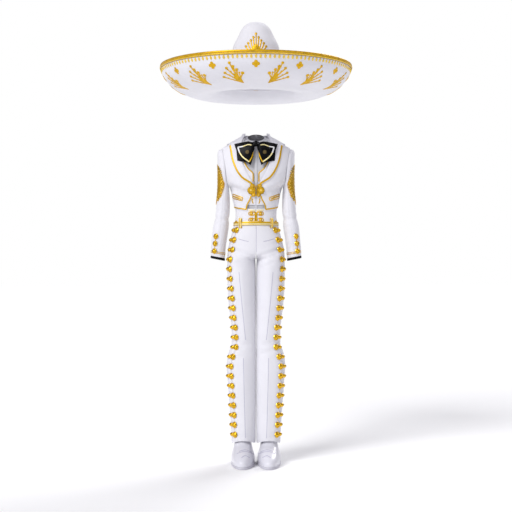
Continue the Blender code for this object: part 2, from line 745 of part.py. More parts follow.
def bow_place(top, foot, clearance, puff, bulge=0.0):
    """A bow piece between its top and lower edges, each a row of x, z from the knot outward."""
    away = Vector((top[-1][1] - foot[-1][1], 0, foot[-1][0] - top[-1][0])).normalized()

    def edge(points, u):
        keys = spread(0, 1, len(points))
        x = np.interp(u, keys, [p[0] for p in points])
        z = np.interp(u, keys, [p[1] for p in points])
        return Vector((float(x), 0, float(z)))

    def place(u, v, lift):
        point = edge(top, u).lerp(edge(foot, u), v) + away * bulge * u**2 * math.sin(math.pi * v)
        rise = clearance + puff * math.sin(math.pi * v) * (0.4 + 0.6 * math.sin(math.pi * u))
        point.y = front_surface_y(point.x, point.z, 0) - rise - lift
        return point

    return place


def build_bow(black, collection):
    tail = bow_place(BOW_TAIL_TOP, BOW_TAIL_FOOT, TAIL_CLEARANCE, TAIL_PUFF)
    both_sides("bow_tail", tail, spread(0, 1, 6), spread(0, 1, 5), (0.0018, 0), black, collection)
    wing = bow_place(BOW_WING_TOP, BOW_WING_FOOT, WING_CLEARANCE, WING_PUFF, WING_BULGE)
    both_sides("bow_wing", wing, spread(0, 1, 7), spread(0, 1, 5), (0.0020, 0), black, collection)
    knot = bmesh.new()
    bmesh.ops.create_uvsphere(knot, u_segments=10, v_segments=6, radius=1)
    for vertex in knot.verts:
        vertex.co.x *= BOW_KNOT_HALF_WIDTH
        vertex.co.y *= BOW_KNOT_HALF_DEPTH
        vertex.co.z *= BOW_KNOT_HALF_HEIGHT
        vertex.co += Vector((0, front_surface_y(0, BOW_KNOT_Z, 0) - BOW_KNOT_OUT, BOW_KNOT_Z))
    add_mesh("bow_knot", knot, black, collection)


def waistband(angle, z, lift):
    return on_torso(angle, z, lift)


def build_waist(white, gold, collection):
    heights = (WAISTBAND_TOP_Z, -0.306, -0.329, WAIST_SEAM_Z + HALF_SEAM)
    gap = HALF_SEAM / 0.08
    front = spread(gap, math.pi / 2 - 4 * gap, 7)
    both_sides("waistband_front", waistband, front, heights, WAISTBAND, white, collection)
    back = spread(math.pi / 2 + 4 * gap, 3 * math.pi / 2 - 4 * gap, 13)
    wall("waistband_back", waistband, back, heights, WAISTBAND, white, collection)
    turns = [2 * math.pi * i / 32 for i in range(32)]
    belt_heights = (BELT_TOP_Z, BELT_FOOT_Z)
    wall("belt", waistband, turns, belt_heights, ON_WAISTBAND, gold, collection, ring=True)
    both_sides("belt_loop", belt_loop(LOOP_X), (0, 1), spread(0, 1, 7), (0.0014, 0), gold, collection)
    wall("belt_loop_back", belt_loop(0, True), (0, 1), spread(0, 1, 7), (0.0014, 0), gold, collection)


def belt_loop(middle_x, behind=False):
    """A strap that starts flat on the band, stands out over the belt and ends flat on the trousers."""

    def place(u, v, lift):
        z = LOOP_TOP_Z + (LOOP_FOOT_Z - LOOP_TOP_Z) * v
        x = middle_x + LOOP_WIDTH * (u - 0.5)
        out = WAISTBAND[0] + LOOP_SEAT + BELT_LOOP_RISE * max(0.0, math.sin(math.pi * v)) ** 0.5
        if z > WAIST_SEAM_Z:
            angle = angle_at(x, torso_half_width(z))
            return on_torso(math.pi - angle if behind else angle, z, out + lift)
        middle, half = leg_ring(z)
        angle = angle_at(x - middle, half, LEG_ROUNDNESS)
        return on_leg(math.pi - angle if behind else angle, z, out + lift)

    return place


def outseam_angle(z):
    middle, half = leg_ring(z)
    return angle_at(OUTSEAM["x"](z) - middle, half, LEG_ROUNDNESS)


def inner_angle(z):
    """The inner edge of a front panel: the middle seam above the crotch, the inseam below it."""
    middle, half = leg_ring(z)
    inseam = -side_angle(LEG["front"](z), HALF_SEAM, LEG_ROUNDNESS)
    if z < CROTCH_Z:
        return inseam
    return max(angle_at(HALF_SEAM - middle, half, LEG_ROUNDNESS), inseam)


def with_hem(angle, z):
    """The hem arches up over the instep."""
    near = max(0.0, (z + 1.20) / (HEM_Z + 1.20))
    arch = max(0.0, math.cos(angle)) ** 2
    return z + INSTEP_RISE * arch * near


def trouser_front(u, z, lift):
    start = inner_angle(z)
    end = outseam_angle(z) - HALF_SEAM / 0.06
    angle = start + (end - start) * u
    return on_leg(angle, with_hem(angle, z), lift)


def trouser_back(u, z, lift):
    start = outseam_angle(z) + HALF_SEAM / 0.06
    end = math.pi - inner_angle(z)
    angle = start + (end - start) * u
    return on_leg(angle, with_hem(angle, z), lift)


TROUSER_HEIGHTS = (
    [WAIST_SEAM_Z - HALF_SEAM, -0.385, -0.425, -0.455, -0.475, -0.490, -0.4985, -0.5045]
    + [-0.514, -0.540, -0.600, -0.680, -0.760, -0.825, -0.858, -0.885, -0.912]
    + [-0.945, -0.985, -1.070, -1.180, HEM_Z]
)


def build_trousers(white, collection):
    rows = TROUSER_HEIGHTS
    both_sides("trouser_front", trouser_front, spread(0, 1, 7), rows, TROUSER, white, collection)
    both_sides("trouser_back", trouser_back, spread(0, 1, 8), rows, TROUSER, white, collection)


def arc_size(place, u, v):
    """How far the form's point moves for one unit of u, and for one unit of v."""
    along_u = place(u + NUDGE, v) - place(u - NUDGE, v)
    along_v = place(u, v + NUDGE) - place(u, v - NUDGE)
    return along_u.length / (2 * NUDGE), along_v.length / (2 * NUDGE)


def studded_strip(name, form, on_form, middle, stops, tail, layer, gold, collection):
    """A narrow strip that widens into a raised stud at each stop, with a tail on its outer side."""
    rows = []
    for stop in stops:
        half = STUD_RADIUS / arc_size(form, middle(stop), stop)[1]
        step = math.copysign(half, stops[-1] - stops[0])
        rows += [(stop - step, False), (stop, True), (stop + step, False)]

    def place(column, index, lift):
        v, wide = rows[index]
        u = middle(v)
        edges = (-STUD_RADIUS, tail) if wide else (-STRIP_HALF_WIDTH, STRIP_HALF_WIDTH)
        boss = STUD_TOP_HALF_WIDTH if wide else STRIP_HALF_WIDTH / 2
        across = (edges[0], -boss, boss, edges[1])[column]
        raised = wide and column in (1, 2) and lift == layer[0]
        return on_form(u + across / arc_size(form, u, v)[0], v, lift + raised * STUD_HEIGHT)

    both_sides(name, place, range(4), range(len(rows)), layer, gold, collection)


def build_conchas(gold, collection):
    """The conchas down each outseam, tails outward."""
    stops = spread(CONCHA_TOP_Z, CONCHA_BOTTOM_Z, CONCHA_COUNT)
    name = "leg_conchas"
    studded_strip(name, leg_place, on_leg, outseam_angle, stops, CONCHA_TAIL, TAPE, gold, collection)


def build_rosettes(gold, collection):
    """Three rosettes on a cord up the front of each cuff."""
    stops = spread(*ROSETTE_ROWS, ROSETTE_COUNT)

    def middle(row):
        return CORD_TURN

    name = "cuff_rosettes"
    studded_strip(name, sleeve_place, on_sleeve, middle, stops, STUD_RADIUS, CORD, gold, collection)


def front_shape(u, z, lift, edge):
    """A flat ornament at the middle of the front, from the centre line out to its edge."""
    x = HALF_SEAM + (edge(z) - HALF_SEAM) * u
    return on_torso(angle_at(x, torso_half_width(z)), z, lift)


def build_closures(white, gold, collection):
    clasp_edge = smooth_curve(*zip(*CLASP_EDGE))
    frog_edge = smooth_curve(*zip(*FROG_EDGE))

    def clasp(u, z, lift):
        return front_shape(u, z, lift, clasp_edge)

    def frog(u, z, lift):
        return front_shape(u, z, lift, frog_edge)

    def welt(u, v, lift):
        x = WELT_OUTER[0] + (WELT_INNER[0] - WELT_OUTER[0]) * u
        z = WELT_OUTER[1] + (WELT_INNER[1] - WELT_OUTER[1]) * u - WELT_HEIGHT * v
        return on_torso(angle_at(x, torso_half_width(z)), z, lift)

    across = (0, 0.5, 1)
    both_sides("front_clasp", clasp, across, [p[0] for p in CLASP_EDGE], CLASP, gold, collection)
    both_sides("waist_frog", frog, across, [p[0] for p in FROG_EDGE], FROG, gold, collection)
    both_sides("pocket_welt", welt, spread(0, 1, 5), (0, 0.5, 1), LAPEL, white, collection)


def offset_line(line, thickness):
    """The line moved to its lower or inner side by the felt's thickness."""
    points = [Vector(p) for p in line]
    moved = []
    for i, point in enumerate(points):
        before = points[max(i - 1, 0)]
        after = points[min(i + 1, len(points) - 1)]
        along = (after - before).normalized()
        moved.append(point + Vector((along.y, -along.x)) * thickness)
    return moved


def turned(name, line, thickness, material, collection):
    """A shell turned round the vertical axis: out along the upper line and back below it."""
    upper = [Vector(p) for p in line]
    lower = offset_line(line, thickness)
    if upper[0].x == 0:
        lower[0] = Vector((0, upper[0].y - thickness))
    outline = upper + lower[::-1]
    bm = bmesh.new()
    corners = [bm.verts.new((p.x, 0, p.y)) for p in outline]
    for a, b in zip(corners, corners[1:]):
        bm.edges.new((a, b))
    if upper[0].x > 0:
        bm.edges.new((corners[-1], corners[0]))
    mesh = bpy.data.meshes.new(name)
    bm.to_mesh(mesh)
    bm.free()
    mesh.materials.append(material)
    made = bpy.data.objects.new(name, mesh)
    collection.objects.link(made)
    screw = made.modifiers.new("turn", "SCREW")
    screw.steps = HAT_STEPS
    screw.render_steps = HAT_STEPS
    screw.use_merge_vertices = True
    screw.merge_threshold = 0.00001


def build_hat(felt, gold, collection):
    turned("sombrero_crown", CROWN_LINE, FELT, felt, collection)
    turned("sombrero_brim", BRIM_LINE, FELT, felt, collection)
    turned("sombrero_edge_binding", EDGE_LINE, EDGE_THICKNESS, gold, collection)


def boot(angle, z, lift):
    return lifted(boot_place, angle, z, lift)


def build_boots(leather, collection):
    turns = [2 * math.pi * i / BOOT_STEPS for i in range(BOOT_STEPS)]
    heights = [row[0] for row in BOOT_ROWS]
    both_sides("boot_upper", boot, turns, heights, (0, -BOOT_WALL), leather, collection, ring=True)
    for side, sign in (("left", 1), ("right", -1)):
        bm = bmesh.new()
        layers = []
        for z in (SOLE_Z, SOLE_Z + SOLE_THICKNESS):
            layer = []
            for turn in turns:
                x, y = oval(SOLE_HALF_WIDTH, SOLE_TOE, SOLE_HEEL, turn, LEG_ROUNDNESS)
                layer.append(bm.verts.new((sign * (BOOT_X + x), y, z)))
            layers.append(layer)
        low, high = layers
        bm.faces.new(low)
        bm.faces.new(high)
        for i in range(BOOT_STEPS):
            j = (i + 1) % BOOT_STEPS
            bm.faces.new((low[i], low[j], high[j], high[i]))
        add_mesh(f"boot_sole_{side}", bm, leather, collection)


def main():
    clear_scene()
    suit = new_collection("charro_suit")
    white = new_material("suit_cloth", WHITE, 0.6)
    black = new_material("black_satin", BLACK, 0.4)
    grey = new_material("shirt_cloth", SHIRT_GREY, 0.7)
    gold = new_material("gold_braid", GOLD, 0.35, 0.7)
    felt = new_material("hat_felt", WHITE, 0.75)
    leather = new_material("boot_leather", BOOT_WHITE, 0.4)
    build_jacket(white, suit)
    build_collar(white, suit)
    build_sleeves(white, black, suit)
    build_waistcoat(white, suit)
    build_shirt(grey, suit)
    build_bow(black, suit)
    build_waist(white, gold, suit)
    build_trousers(white, suit)
    build_conchas(gold, suit)
    build_rosettes(gold, suit)
    build_closures(white, gold, suit)
    build_hat(felt, gold, suit)
    build_boots(leather, suit)


main()
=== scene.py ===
"""A white charro suit with gold trim, standing hollow as it is worn: shirt, waistcoat, short
jacket, trousers, bow tie, boots and sombrero, each piece laid on the same forms as its solid."""

import math

import bpy
import numpy as np
from mathutils import Matrix, Vector, noise
from mathutils.bvhtree import BVHTree


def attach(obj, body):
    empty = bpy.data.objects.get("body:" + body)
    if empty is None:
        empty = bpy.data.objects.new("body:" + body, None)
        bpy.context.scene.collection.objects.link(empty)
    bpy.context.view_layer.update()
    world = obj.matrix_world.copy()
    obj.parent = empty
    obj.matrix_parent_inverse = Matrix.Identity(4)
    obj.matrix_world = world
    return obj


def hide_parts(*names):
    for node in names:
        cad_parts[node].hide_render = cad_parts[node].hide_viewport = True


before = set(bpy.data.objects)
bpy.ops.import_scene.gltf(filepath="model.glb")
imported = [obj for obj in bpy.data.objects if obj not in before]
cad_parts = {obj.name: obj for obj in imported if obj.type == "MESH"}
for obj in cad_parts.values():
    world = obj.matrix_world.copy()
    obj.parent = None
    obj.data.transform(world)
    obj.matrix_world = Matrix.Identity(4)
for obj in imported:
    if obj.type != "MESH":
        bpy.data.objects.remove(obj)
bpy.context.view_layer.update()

# Shirt. Plain cotton, cut as two fronts, a back, a button placket and a turned-down collar.
# It lies on the torso form, a stack of rounded ovals from the hips to the top of the collar.
ROUNDNESS = 2.3
UNDERARM_Z, SHOULDER_Z = -0.187, -0.0176
UNDERARM_X, SHOULDER_X, ARMHOLE_HALF_DEPTH = 0.115, 0.150, 0.060
WAIST_SEAM_Z = -0.352
HALF_SEAM = 0.00015
NUDGE = 0.0001
TORSO_COLUMNS = ("z", "half_width", "front", "back")
TORSO_ROWS = (
    (-0.400, 0.1120, 0.0820, 0.0980),
    (-0.352, 0.1000, 0.0770, 0.0860),
    (-0.315, 0.0930, 0.0740, 0.0760),
    (-0.290, 0.0935, 0.0745, 0.0745),
    (-0.250, 0.1010, 0.0800, 0.0770),
    (-0.215, 0.1075, 0.0900, 0.0840),
    (-0.187, 0.1150, 0.0990, 0.0900),
    (-0.140, 0.1300, 0.1050, 0.0960),
    (-0.100, 0.1300, 0.1000, 0.0970),
    (-0.060, 0.1300, 0.0910, 0.0940),
    (-0.0176, 0.1500, 0.0810, 0.0860),
    (0.000, 0.1200, 0.0750, 0.0800),
    (0.020, 0.0880, 0.0670, 0.0720),
    (0.0374, 0.0600, 0.0590, 0.0640),
    (0.060, 0.0540, 0.0560, 0.0600),
)
FRONT_EDGE_COLUMNS = ("z", "jacket", "waistcoat")
FRONT_EDGE_ROWS = (
    (-0.2926, 0.0387, 0.0010),
    (-0.278, 0.0385, 0.0010),
    (-0.232, 0.0190, 0.0016),
    (-0.200, 0.0155, 0.0060),
    (-0.172, 0.0176, 0.0106),
    (-0.148, 0.0290, 0.0106),
    (-0.134, 0.0375, 0.0108),
    (-0.110, 0.0490, 0.0326),
    (-0.0805, 0.0594, 0.0493),
    (-0.040, 0.0640, 0.0560),
    (0.000, 0.0620, 0.0560),
    (0.030, 0.0530, 0.0500),
    (0.060, 0.0400, 0.0400),
)
SHIRT, WAISTCOAT, PLACKET = (-0.0092, -0.0104), (-0.0040, -0.0052), (-0.0064, -0.0079)
UNDER_INSET, UNDER_SHOULDER_DIP, EASE_SPAN = 0.012, 0.0020, 0.016
SHIRT_TAIL_Z, SHIRT_FRONT_TOP_Z, SHIRT_SIDE_TOP_Z = -0.310, 0.004, 0.028
PLACKET_HALF_WIDTH, PLACKET_FOOT_Z, PLACKET_TOP_Z = 0.0065, -0.300, -0.010
NECK_HALF_WIDTH, NECK_DEPTH, NECK_FRONT_Z, NECK_RISE = 0.036, 0.043, 0.012, 0.038
COLLAR_WALL, COLLAR_ROLL, COLLAR_RIM_RISE, COLLAR_RIM_OUT = (0.0013, 0), 0.002, 0.003, 0.001

# Creases, as a line seen from the front or back, how wide it is, and how far it rises or dips.
CREASE_COLUMNS = ("face", "x0", "z0", "x1", "z1", "half_width", "rise")
CREASE_ROWS = (
    ("front", 0.098, -0.460, 0.012, -0.494, 0.010, -0.0065),
    ("front", 0.088, -0.482, 0.018, -0.508, 0.008, -0.0050),
    ("front", 0.030, -0.876, 0.105, -0.866, 0.012, -0.0040),
    ("front", 0.028, -0.915, 0.090, -0.890, 0.013, -0.0035),
    ("front", 0.062, -0.560, 0.050, -0.850, 0.012, 0.0030),
    ("front", 0.055, -0.940, 0.047, -1.290, 0.012, 0.0030),
    ("back", 0.030, -0.500, 0.095, -0.476, 0.013, -0.0040),
    ("back", 0.028, -0.862, 0.104, -0.880, 0.012, -0.0050),
    ("back", 0.030, -0.905, 0.098, -0.912, 0.012, -0.0040),
    ("back", 0.062, -0.560, 0.058, -0.840, 0.012, 0.0030),
    ("back", 0.060, -0.940, 0.055, -1.290, 0.012, 0.0030),
    ("front", 0.050, -0.190, 0.098, -0.168, 0.014, 0.0040),
    ("front", 0.048, -0.216, 0.100, -0.196, 0.013, -0.0050),
    ("back", 0.020, -0.232, 0.085, -0.214, 0.013, 0.0030),
    ("back", 0.015, -0.160, 0.100, -0.120, 0.016, 0.0030),
    ("front", 0.186, -0.322, 0.150, -0.330, 0.010, -0.0030),
    ("front", 0.120, -0.326, 0.140, -0.330, 0.010, -0.0030),
    ("back", 0.184, -0.300, 0.125, -0.318, 0.012, -0.0030),
    ("front", 0.098, -0.430, 0.040, -0.452, 0.007, -0.0014),
    ("front", 0.078, -0.516, 0.020, -0.540, 0.007, -0.0016),
    ("front", 0.026, -0.852, 0.060, -0.846, 0.007, -0.0014),
    ("front", 0.060, -0.935, 0.104, -0.924, 0.008, -0.0016),
    ("front", 0.085, -1.150, 0.040, -1.175, 0.010, -0.0010),
    ("front", 0.095, -1.262, 0.050, -1.280, 0.008, -0.0014),
    ("back", 0.080, -0.560, 0.020, -0.535, 0.009, -0.0018),
    ("back", 0.104, -0.900, 0.070, -0.945, 0.009, -0.0016),
    ("back", 0.090, -1.180, 0.030, -1.200, 0.011, -0.0012),
    ("front", 0.092, -0.245, 0.060, -0.262, 0.007, -0.0012),
    ("front", 0.112, -0.140, 0.086, -0.165, 0.008, -0.0014),
    ("back", 0.090, -0.255, 0.030, -0.262, 0.008, -0.0014),
    ("back", 0.112, -0.100, 0.080, -0.060, 0.010, -0.0014),
    ("front", 0.164, -0.060, 0.128, -0.130, 0.008, -0.0012),
    ("front", 0.186, -0.345, 0.136, -0.362, 0.008, -0.0014),
    ("front", 0.176, -0.292, 0.130, -0.300, 0.007, -0.0012),
    ("front", 0.190, -0.430, 0.150, -0.450, 0.009, -0.0010),
    ("back", 0.186, -0.340, 0.130, -0.350, 0.009, -0.0016),
    ("back", 0.162, -0.080, 0.130, -0.140, 0.009, -0.0014),
)
RIPPLE, RIPPLE_SIZE = 0.0006, 0.055


def curve(keys, values):
    """A curve through the points that never overshoots them, for arrays of keys."""
    order = np.argsort(keys)
    x, y = np.array(keys, float)[order], np.array(values, float)[order]
    slope = np.diff(y) / np.diff(x)
    before, after = slope[:-1], slope[1:]
    same_way = before * after > 0
    inner = np.where(same_way, 2 * before * after / np.where(same_way, before + after, 1), 0)
    tangent = np.concatenate([slope[:1], inner, slope[-1:]])

    def value(key):
        key = np.clip(key, x[0], x[-1])
        i = np.clip(np.searchsorted(x, key) - 1, 0, len(x) - 2)
        span = x[i + 1] - x[i]
        t = (key - x[i]) / span
        start = (1 + 2 * t) * (1 - t) ** 2 * y[i] + t * (1 - t) ** 2 * span * tangent[i]
        end = t * t * (3 - 2 * t) * y[i + 1] + t * t * (t - 1) * span * tangent[i + 1]
        return start + end

    return value


def read_table(columns, rows):
    keys = [row[0] for row in rows]
    return {name: curve(keys, [row[i] for row in rows]) for i, name in enumerate(columns) if i}


TORSO = read_table(TORSO_COLUMNS, TORSO_ROWS)
FRONT_EDGE = read_table(FRONT_EDGE_COLUMNS, FRONT_EDGE_ROWS)


def signed_power(value, power):
    return np.sign(value) * np.abs(value) ** power


def oval(half_width, front, back, angle, roundness):
    """A rounded oval: angle 0 is the front and a quarter turn is the outer side."""
    x = half_width * signed_power(np.sin(angle), 2 / roundness)
    depth = np.where(np.cos(angle) > 0, front, back)
    return x, -depth * signed_power(np.cos(angle), 2 / roundness)


def armhole_x(z):
    rise = np.clip((z - UNDERARM_Z) / (SHOULDER_Z - UNDERARM_Z), 0, 1)
    return UNDERARM_X + (SHOULDER_X - UNDERARM_X) * (rise + 2 * rise * (1 - rise) ** 4)


def in_armhole(z):
    return (z > UNDERARM_Z) & (z < SHOULDER_Z)


def torso_half_width(z):
    z = np.asarray(z, float)
    middle, half = (UNDERARM_Z + SHOULDER_Z) / 2, (SHOULDER_Z - UNDERARM_Z) / 2
    reach = ARMHOLE_HALF_DEPTH * np.sqrt(np.clip(1 - ((z - middle) / half) ** 2, 0, 1))
    depth = (TORSO["front"](z) + TORSO["back"](z)) / 2
    through = armhole_x(z) / (1 - (reach / depth) ** ROUNDNESS) ** (1 / ROUNDNESS)
    return np.where(in_armhole(z), through, TORSO["half_width"](z))


def torso_form(angle, z):
    angle, z = np.broadcast_arrays(np.asarray(angle, float), np.asarray(z, float))
    x, y = oval(torso_half_width(z), TORSO["front"](z), TORSO["back"](z), angle, ROUNDNESS)
    return np.stack([x, y, z], -1)


def crease_rise(point, hand):
    """The creases at these points, and a slow ripple that differs between left and right."""
    total = np.zeros(point.shape[:-1])
    for row in CREASE_ROWS:
        crease = dict(zip(CREASE_COLUMNS, row))
        start = np.array([crease["x0"], crease["z0"]])
        along = np.array([crease["x1"], crease["z1"]]) - start
        here = point[..., [0, 2]] - start
        t = np.clip(here @ along / (along @ along), 0, 1)
        distance = np.linalg.norm(here - t[..., None] * along, axis=-1)
        facing = (point[..., 1] < 0) == (crease["face"] == "front")
        total += facing * crease["rise"] * np.exp(-((distance / crease["half_width"]) ** 2))
    flat = point.reshape(-1, 3) / RIPPLE_SIZE + np.array([0, 0, 9.0 * hand])
    ripple = np.array([noise.noise(Vector(place)) for place in flat])
    return total + RIPPLE * ripple.reshape(total.shape)


def laid(form, u, v, lift, turned=1, hand=1, creased=True):
    """The form's points moved out along its normal by the layer's lift and the creases."""
    point = form(u, v)
    along_u = form(u + NUDGE, v) - form(u - NUDGE, v)
    along_v = form(u, v + NUDGE) - form(u, v - NUDGE)
    normal = np.cross(along_u, along_v) * turned
    normal /= np.linalg.norm(normal, axis=-1, keepdims=True)
    out = lift + (crease_rise(point, hand) if creased else np.zeros(point.shape[:-1]))
    return point + normal * np.broadcast_to(out, point.shape[:-1])[..., None]


def under_jacket(angle, z, lift, hand=1):
    dip = UNDER_SHOULDER_DIP * np.exp(-(((z - SHOULDER_Z) / EASE_SPAN) ** 2))
    return laid(torso_form, angle, z, lift - dip, creased=False)


def angle_at(x, half_width, roundness=ROUNDNESS):
    """The angle at which an oval of this half width has this x, on its front half."""
    return np.arcsin(signed_power(np.clip(x / half_width, -1, 1), roundness / 2))


def side_angle(depth, roundness=ROUNDNESS):
    return np.arccos((HALF_SEAM / depth) ** (roundness / 2))


def limit(face, z, inset=0.0):
    """The angle where a torso panel stops: the side seam, the armhole or the shoulder seam."""
    side = side_angle(TORSO[face](z))
    cut = angle_at(armhole_x(z) - inset, torso_half_width(z))
    return np.where(in_armhole(z), np.minimum(side, cut), side)


def eased(start, end, count):
    """Places from start to end, closer together near both ends."""
    t = np.linspace(0, 1, count)
    return start + (end - start) * (0.45 * t + 0.55 * (0.5 - 0.5 * np.cos(math.pi * t)))


SEAM_DIP, SEAM_DIP_WIDTH = 0.0007, 0.0030
SIDES = (("left", 1), ("right", -1))

# Every piece by its name, because trim is laid on the pieces themselves and not on their solids.
pieces = {}


def new_piece(name, points, faces, materials, nodes=()):
    mesh = bpy.data.meshes.new(name)
    mesh.from_pydata([tuple(p) for p in points], [], [tuple(int(i) for i in f) for f in faces])
    mesh.shade_smooth()
    mesh.set_sharp_from_angle(angle=math.radians(50))
    piece = pieces[name] = bpy.data.objects.new(name, mesh)
    bpy.context.scene.collection.objects.link(piece)
    for material in materials if isinstance(materials, (list, tuple)) else [materials]:
        mesh.materials.append(material)
    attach(piece, "root")
    if nodes:
        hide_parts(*nodes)
    return piece


def arc(points, axis):
    steps = np.linalg.norm(np.diff(points, axis=axis), axis=-1)
    start = np.zeros_like(np.take(steps, [0], axis=axis))
    return np.concatenate([start, np.cumsum(steps, axis=axis)], axis=axis)


def cloth(name, place, u, v, layer, material, slot="suit_cloth", side=1, ring=False, dip=True, soft=True):
    """A thin shell of cloth: place(u, v, lift, hand) on a grid, at its outer and inner lift.
    Its edges dip a little, as sewn seams do. Its map is in metres, so a weave keeps its size."""
    grid_u, grid_v = np.meshgrid(u, v)
    if ring:
        grid_u, grid_v = grid_u[:, :-1], grid_v[:, :-1]
    middle = place(grid_u, grid_v, layer[0] * np.ones(grid_u.shape), side)
    across, along = arc(middle, 1), arc(middle, 0)
    edge = np.minimum(along, along[-1:] - along)
    if not ring:
        edge = np.minimum(edge, np.minimum(across, across[:, -1:] - across))
    low = SEAM_DIP * np.exp(-((edge / SEAM_DIP_WIDTH) ** 2)) if dip else np.zeros(edge.shape)
    sheets = [place(grid_u, grid_v, lift - low * (lift == layer[0]), side) for lift in layer]
    rows, columns = grid_u.shape
    points = np.concatenate([sheet.reshape(-1, 3) for sheet in sheets])
    points[:, 0] *= side
    index = np.arange(rows * columns).reshape(rows, columns)
    if ring:
        index = np.concatenate([index, index[:, :1]], 1)
    a, b, c, d = index[:-1, :-1], index[:-1, 1:], index[1:, 1:], index[1:, :-1]
    outer = np.stack([a, b, c, d], -1).reshape(-1, 4)
    faces = [outer, outer[:, ::-1] + rows * columns]
    borders = [index[0], index[-1, ::-1]] + ([] if ring else [index[::-1, 0], index[:, -1]])
    for border in borders:
        p, q = border[:-1], border[1:]
        faces.append(np.stack([p, p + rows * columns, q + rows * columns, q], -1))
    faces = np.concatenate(faces)
    centre = sheets[0].reshape(-1, 3)
    sample = outer[len(outer) // 2]
    across_face = np.cross(centre[sample[1]] - centre[sample[0]], centre[sample[2]] - centre[sample[0]])
    away = centre[sample[0]] - sheets[1].reshape(-1, 3)[sample[0]]
    if across_face @ away * side < 0:
        faces = faces[:, ::-1]
    piece = new_piece(name, points, faces, material, (name,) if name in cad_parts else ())
    metres = np.tile(np.stack([across, along], -1).reshape(-1, 2), (2, 1))
    layer_map = piece.data.uv_layers.new(name="metres")
    corners = np.empty(len(piece.data.loops), np.int32)
    piece.data.loops.foreach_get("vertex_index", corners)
    layer_map.data.foreach_set("uv", metres[corners].ravel())
    quads = np.cross(middle[1:, 1:] - middle[:-1, :-1], middle[1:, :-1] - middle[:-1, 1:])
    width, length = float(across[:, -1].max()), float(along[-1].max())
    area = float(np.linalg.norm(quads, axis=-1).sum() / 2)
    if ring:
        width *= columns / (columns - 1)
        area *= columns / (columns - 1)
    if not soft:
        return piece
    return piece


def two_sides(name, place, u, v, layer, material, **options):
    for label, side in SIDES:
        cloth(f"{name}_{label}", place, u, v, layer, material, side=side, **options)


def textured(name, colour, roughness, metallic=0.0, sheen=0.0, coat=0.0, shade=0.92, patch=9.0):
    """A material whose colour and roughness vary slowly over the object, with its bump left open."""
    made = bpy.data.materials.new(name)
    made.use_nodes = True
    nodes, links = made.node_tree.nodes, made.node_tree.links
    surface = nodes["Principled BSDF"]
    surface.inputs["Metallic"].default_value = metallic
    surface.inputs["Sheen Weight"].default_value = sheen
    surface.inputs["Sheen Roughness"].default_value = 0.45
    surface.inputs["Coat Weight"].default_value = coat
    surface.inputs["Coat Roughness"].default_value = 0.12
    place = nodes.new("ShaderNodeTexCoord")
    cloud = nodes.new("ShaderNodeTexNoise")
    cloud.inputs["Scale"].default_value = patch
    cloud.inputs["Detail"].default_value = 5
    links.new(place.outputs["Object"], cloud.inputs["Vector"])
    tone = nodes.new("ShaderNodeValToRGB")
    tone.color_ramp.elements[0].position = 0.35
    tone.color_ramp.elements[1].position = 0.65
    tone.color_ramp.elements[0].color = (*[c * shade for c in colour], 1)
    tone.color_ramp.elements[1].color = (*colour, 1)
    links.new(cloud.outputs["Fac"], tone.inputs["Fac"])
    links.new(tone.outputs["Color"], surface.inputs["Base Color"])
    rough = nodes.new("ShaderNodeMapRange")
    rough.inputs["To Min"].default_value = roughness * 0.85
    rough.inputs["To Max"].default_value = min(1.0, roughness * 1.15)
    links.new(cloud.outputs["Fac"], rough.inputs["Value"])
    links.new(rough.outputs["Result"], surface.inputs["Roughness"])
    return made, nodes, links, surface, place


def bands(nodes, links, place, coordinate, period, direction):
    """Fine even bands, such as threads, with this period in metres."""
    wave = nodes.new("ShaderNodeTexWave")
    wave.bands_direction = direction
    wave.inputs["Scale"].default_value = math.pi / 10 / period
    links.new(place.outputs[coordinate], wave.inputs["Vector"])
    return wave


def add_bump(nodes, links, surface, height, strength, distance):
    bump = nodes.new("ShaderNodeBump")
    bump.inputs["Strength"].default_value = strength
    bump.inputs["Distance"].default_value = distance
    links.new(height, bump.inputs["Height"])
    links.new(bump.outputs["Normal"], surface.inputs["Normal"])


def woven(name, colour, thread, depth, roughness, sheen, twill=True, **options):
    """Cloth: threads both ways, or a diagonal twill, on the map in metres."""
    made, nodes, links, surface, place = textured(name, colour, roughness, sheen=sheen, **options)
    warp = bands(nodes, links, place, "UV", thread, "DIAGONAL" if twill else "X")
    weft = bands(nodes, links, place, "UV", thread * 0.7 if twill else thread, "Y")
    both = nodes.new("ShaderNodeMath")
    both.operation = "MULTIPLY"
    links.new(warp.outputs["Fac"], both.inputs[0])
    links.new(weft.outputs["Fac"], both.inputs[1])
    add_bump(nodes, links, surface, both.outputs["Value"], depth, 0.0002)
    return made


shirt_cotton = woven("shirt_cotton", (0.60, 0.60, 0.63), 0.0008, 0.35, 0.80, 0.15, twill=False)
suit_wool = woven("suit_wool", (0.76, 0.755, 0.80), 0.0011, 0.40, 0.68, 0.30, shade=0.965)


def under_heights(hem_z, top_z):
    """Heights up a layer that lies under the jacket, closer together beside the armhole."""
    low = np.linspace(hem_z, UNDERARM_Z, 12)[:-1]
    armhole = np.linspace(UNDERARM_Z, SHOULDER_Z, 24)
    return np.concatenate([low, armhole, np.linspace(SHOULDER_Z, top_z, 9)[1:]])


def shirt_neckline(angle):
    dip = SHIRT_FRONT_TOP_Z + (SHIRT_SIDE_TOP_Z - SHIRT_FRONT_TOP_Z) * np.sin(angle) ** 2
    return np.where(np.cos(angle) < 0, SHIRT_SIDE_TOP_Z, dip)


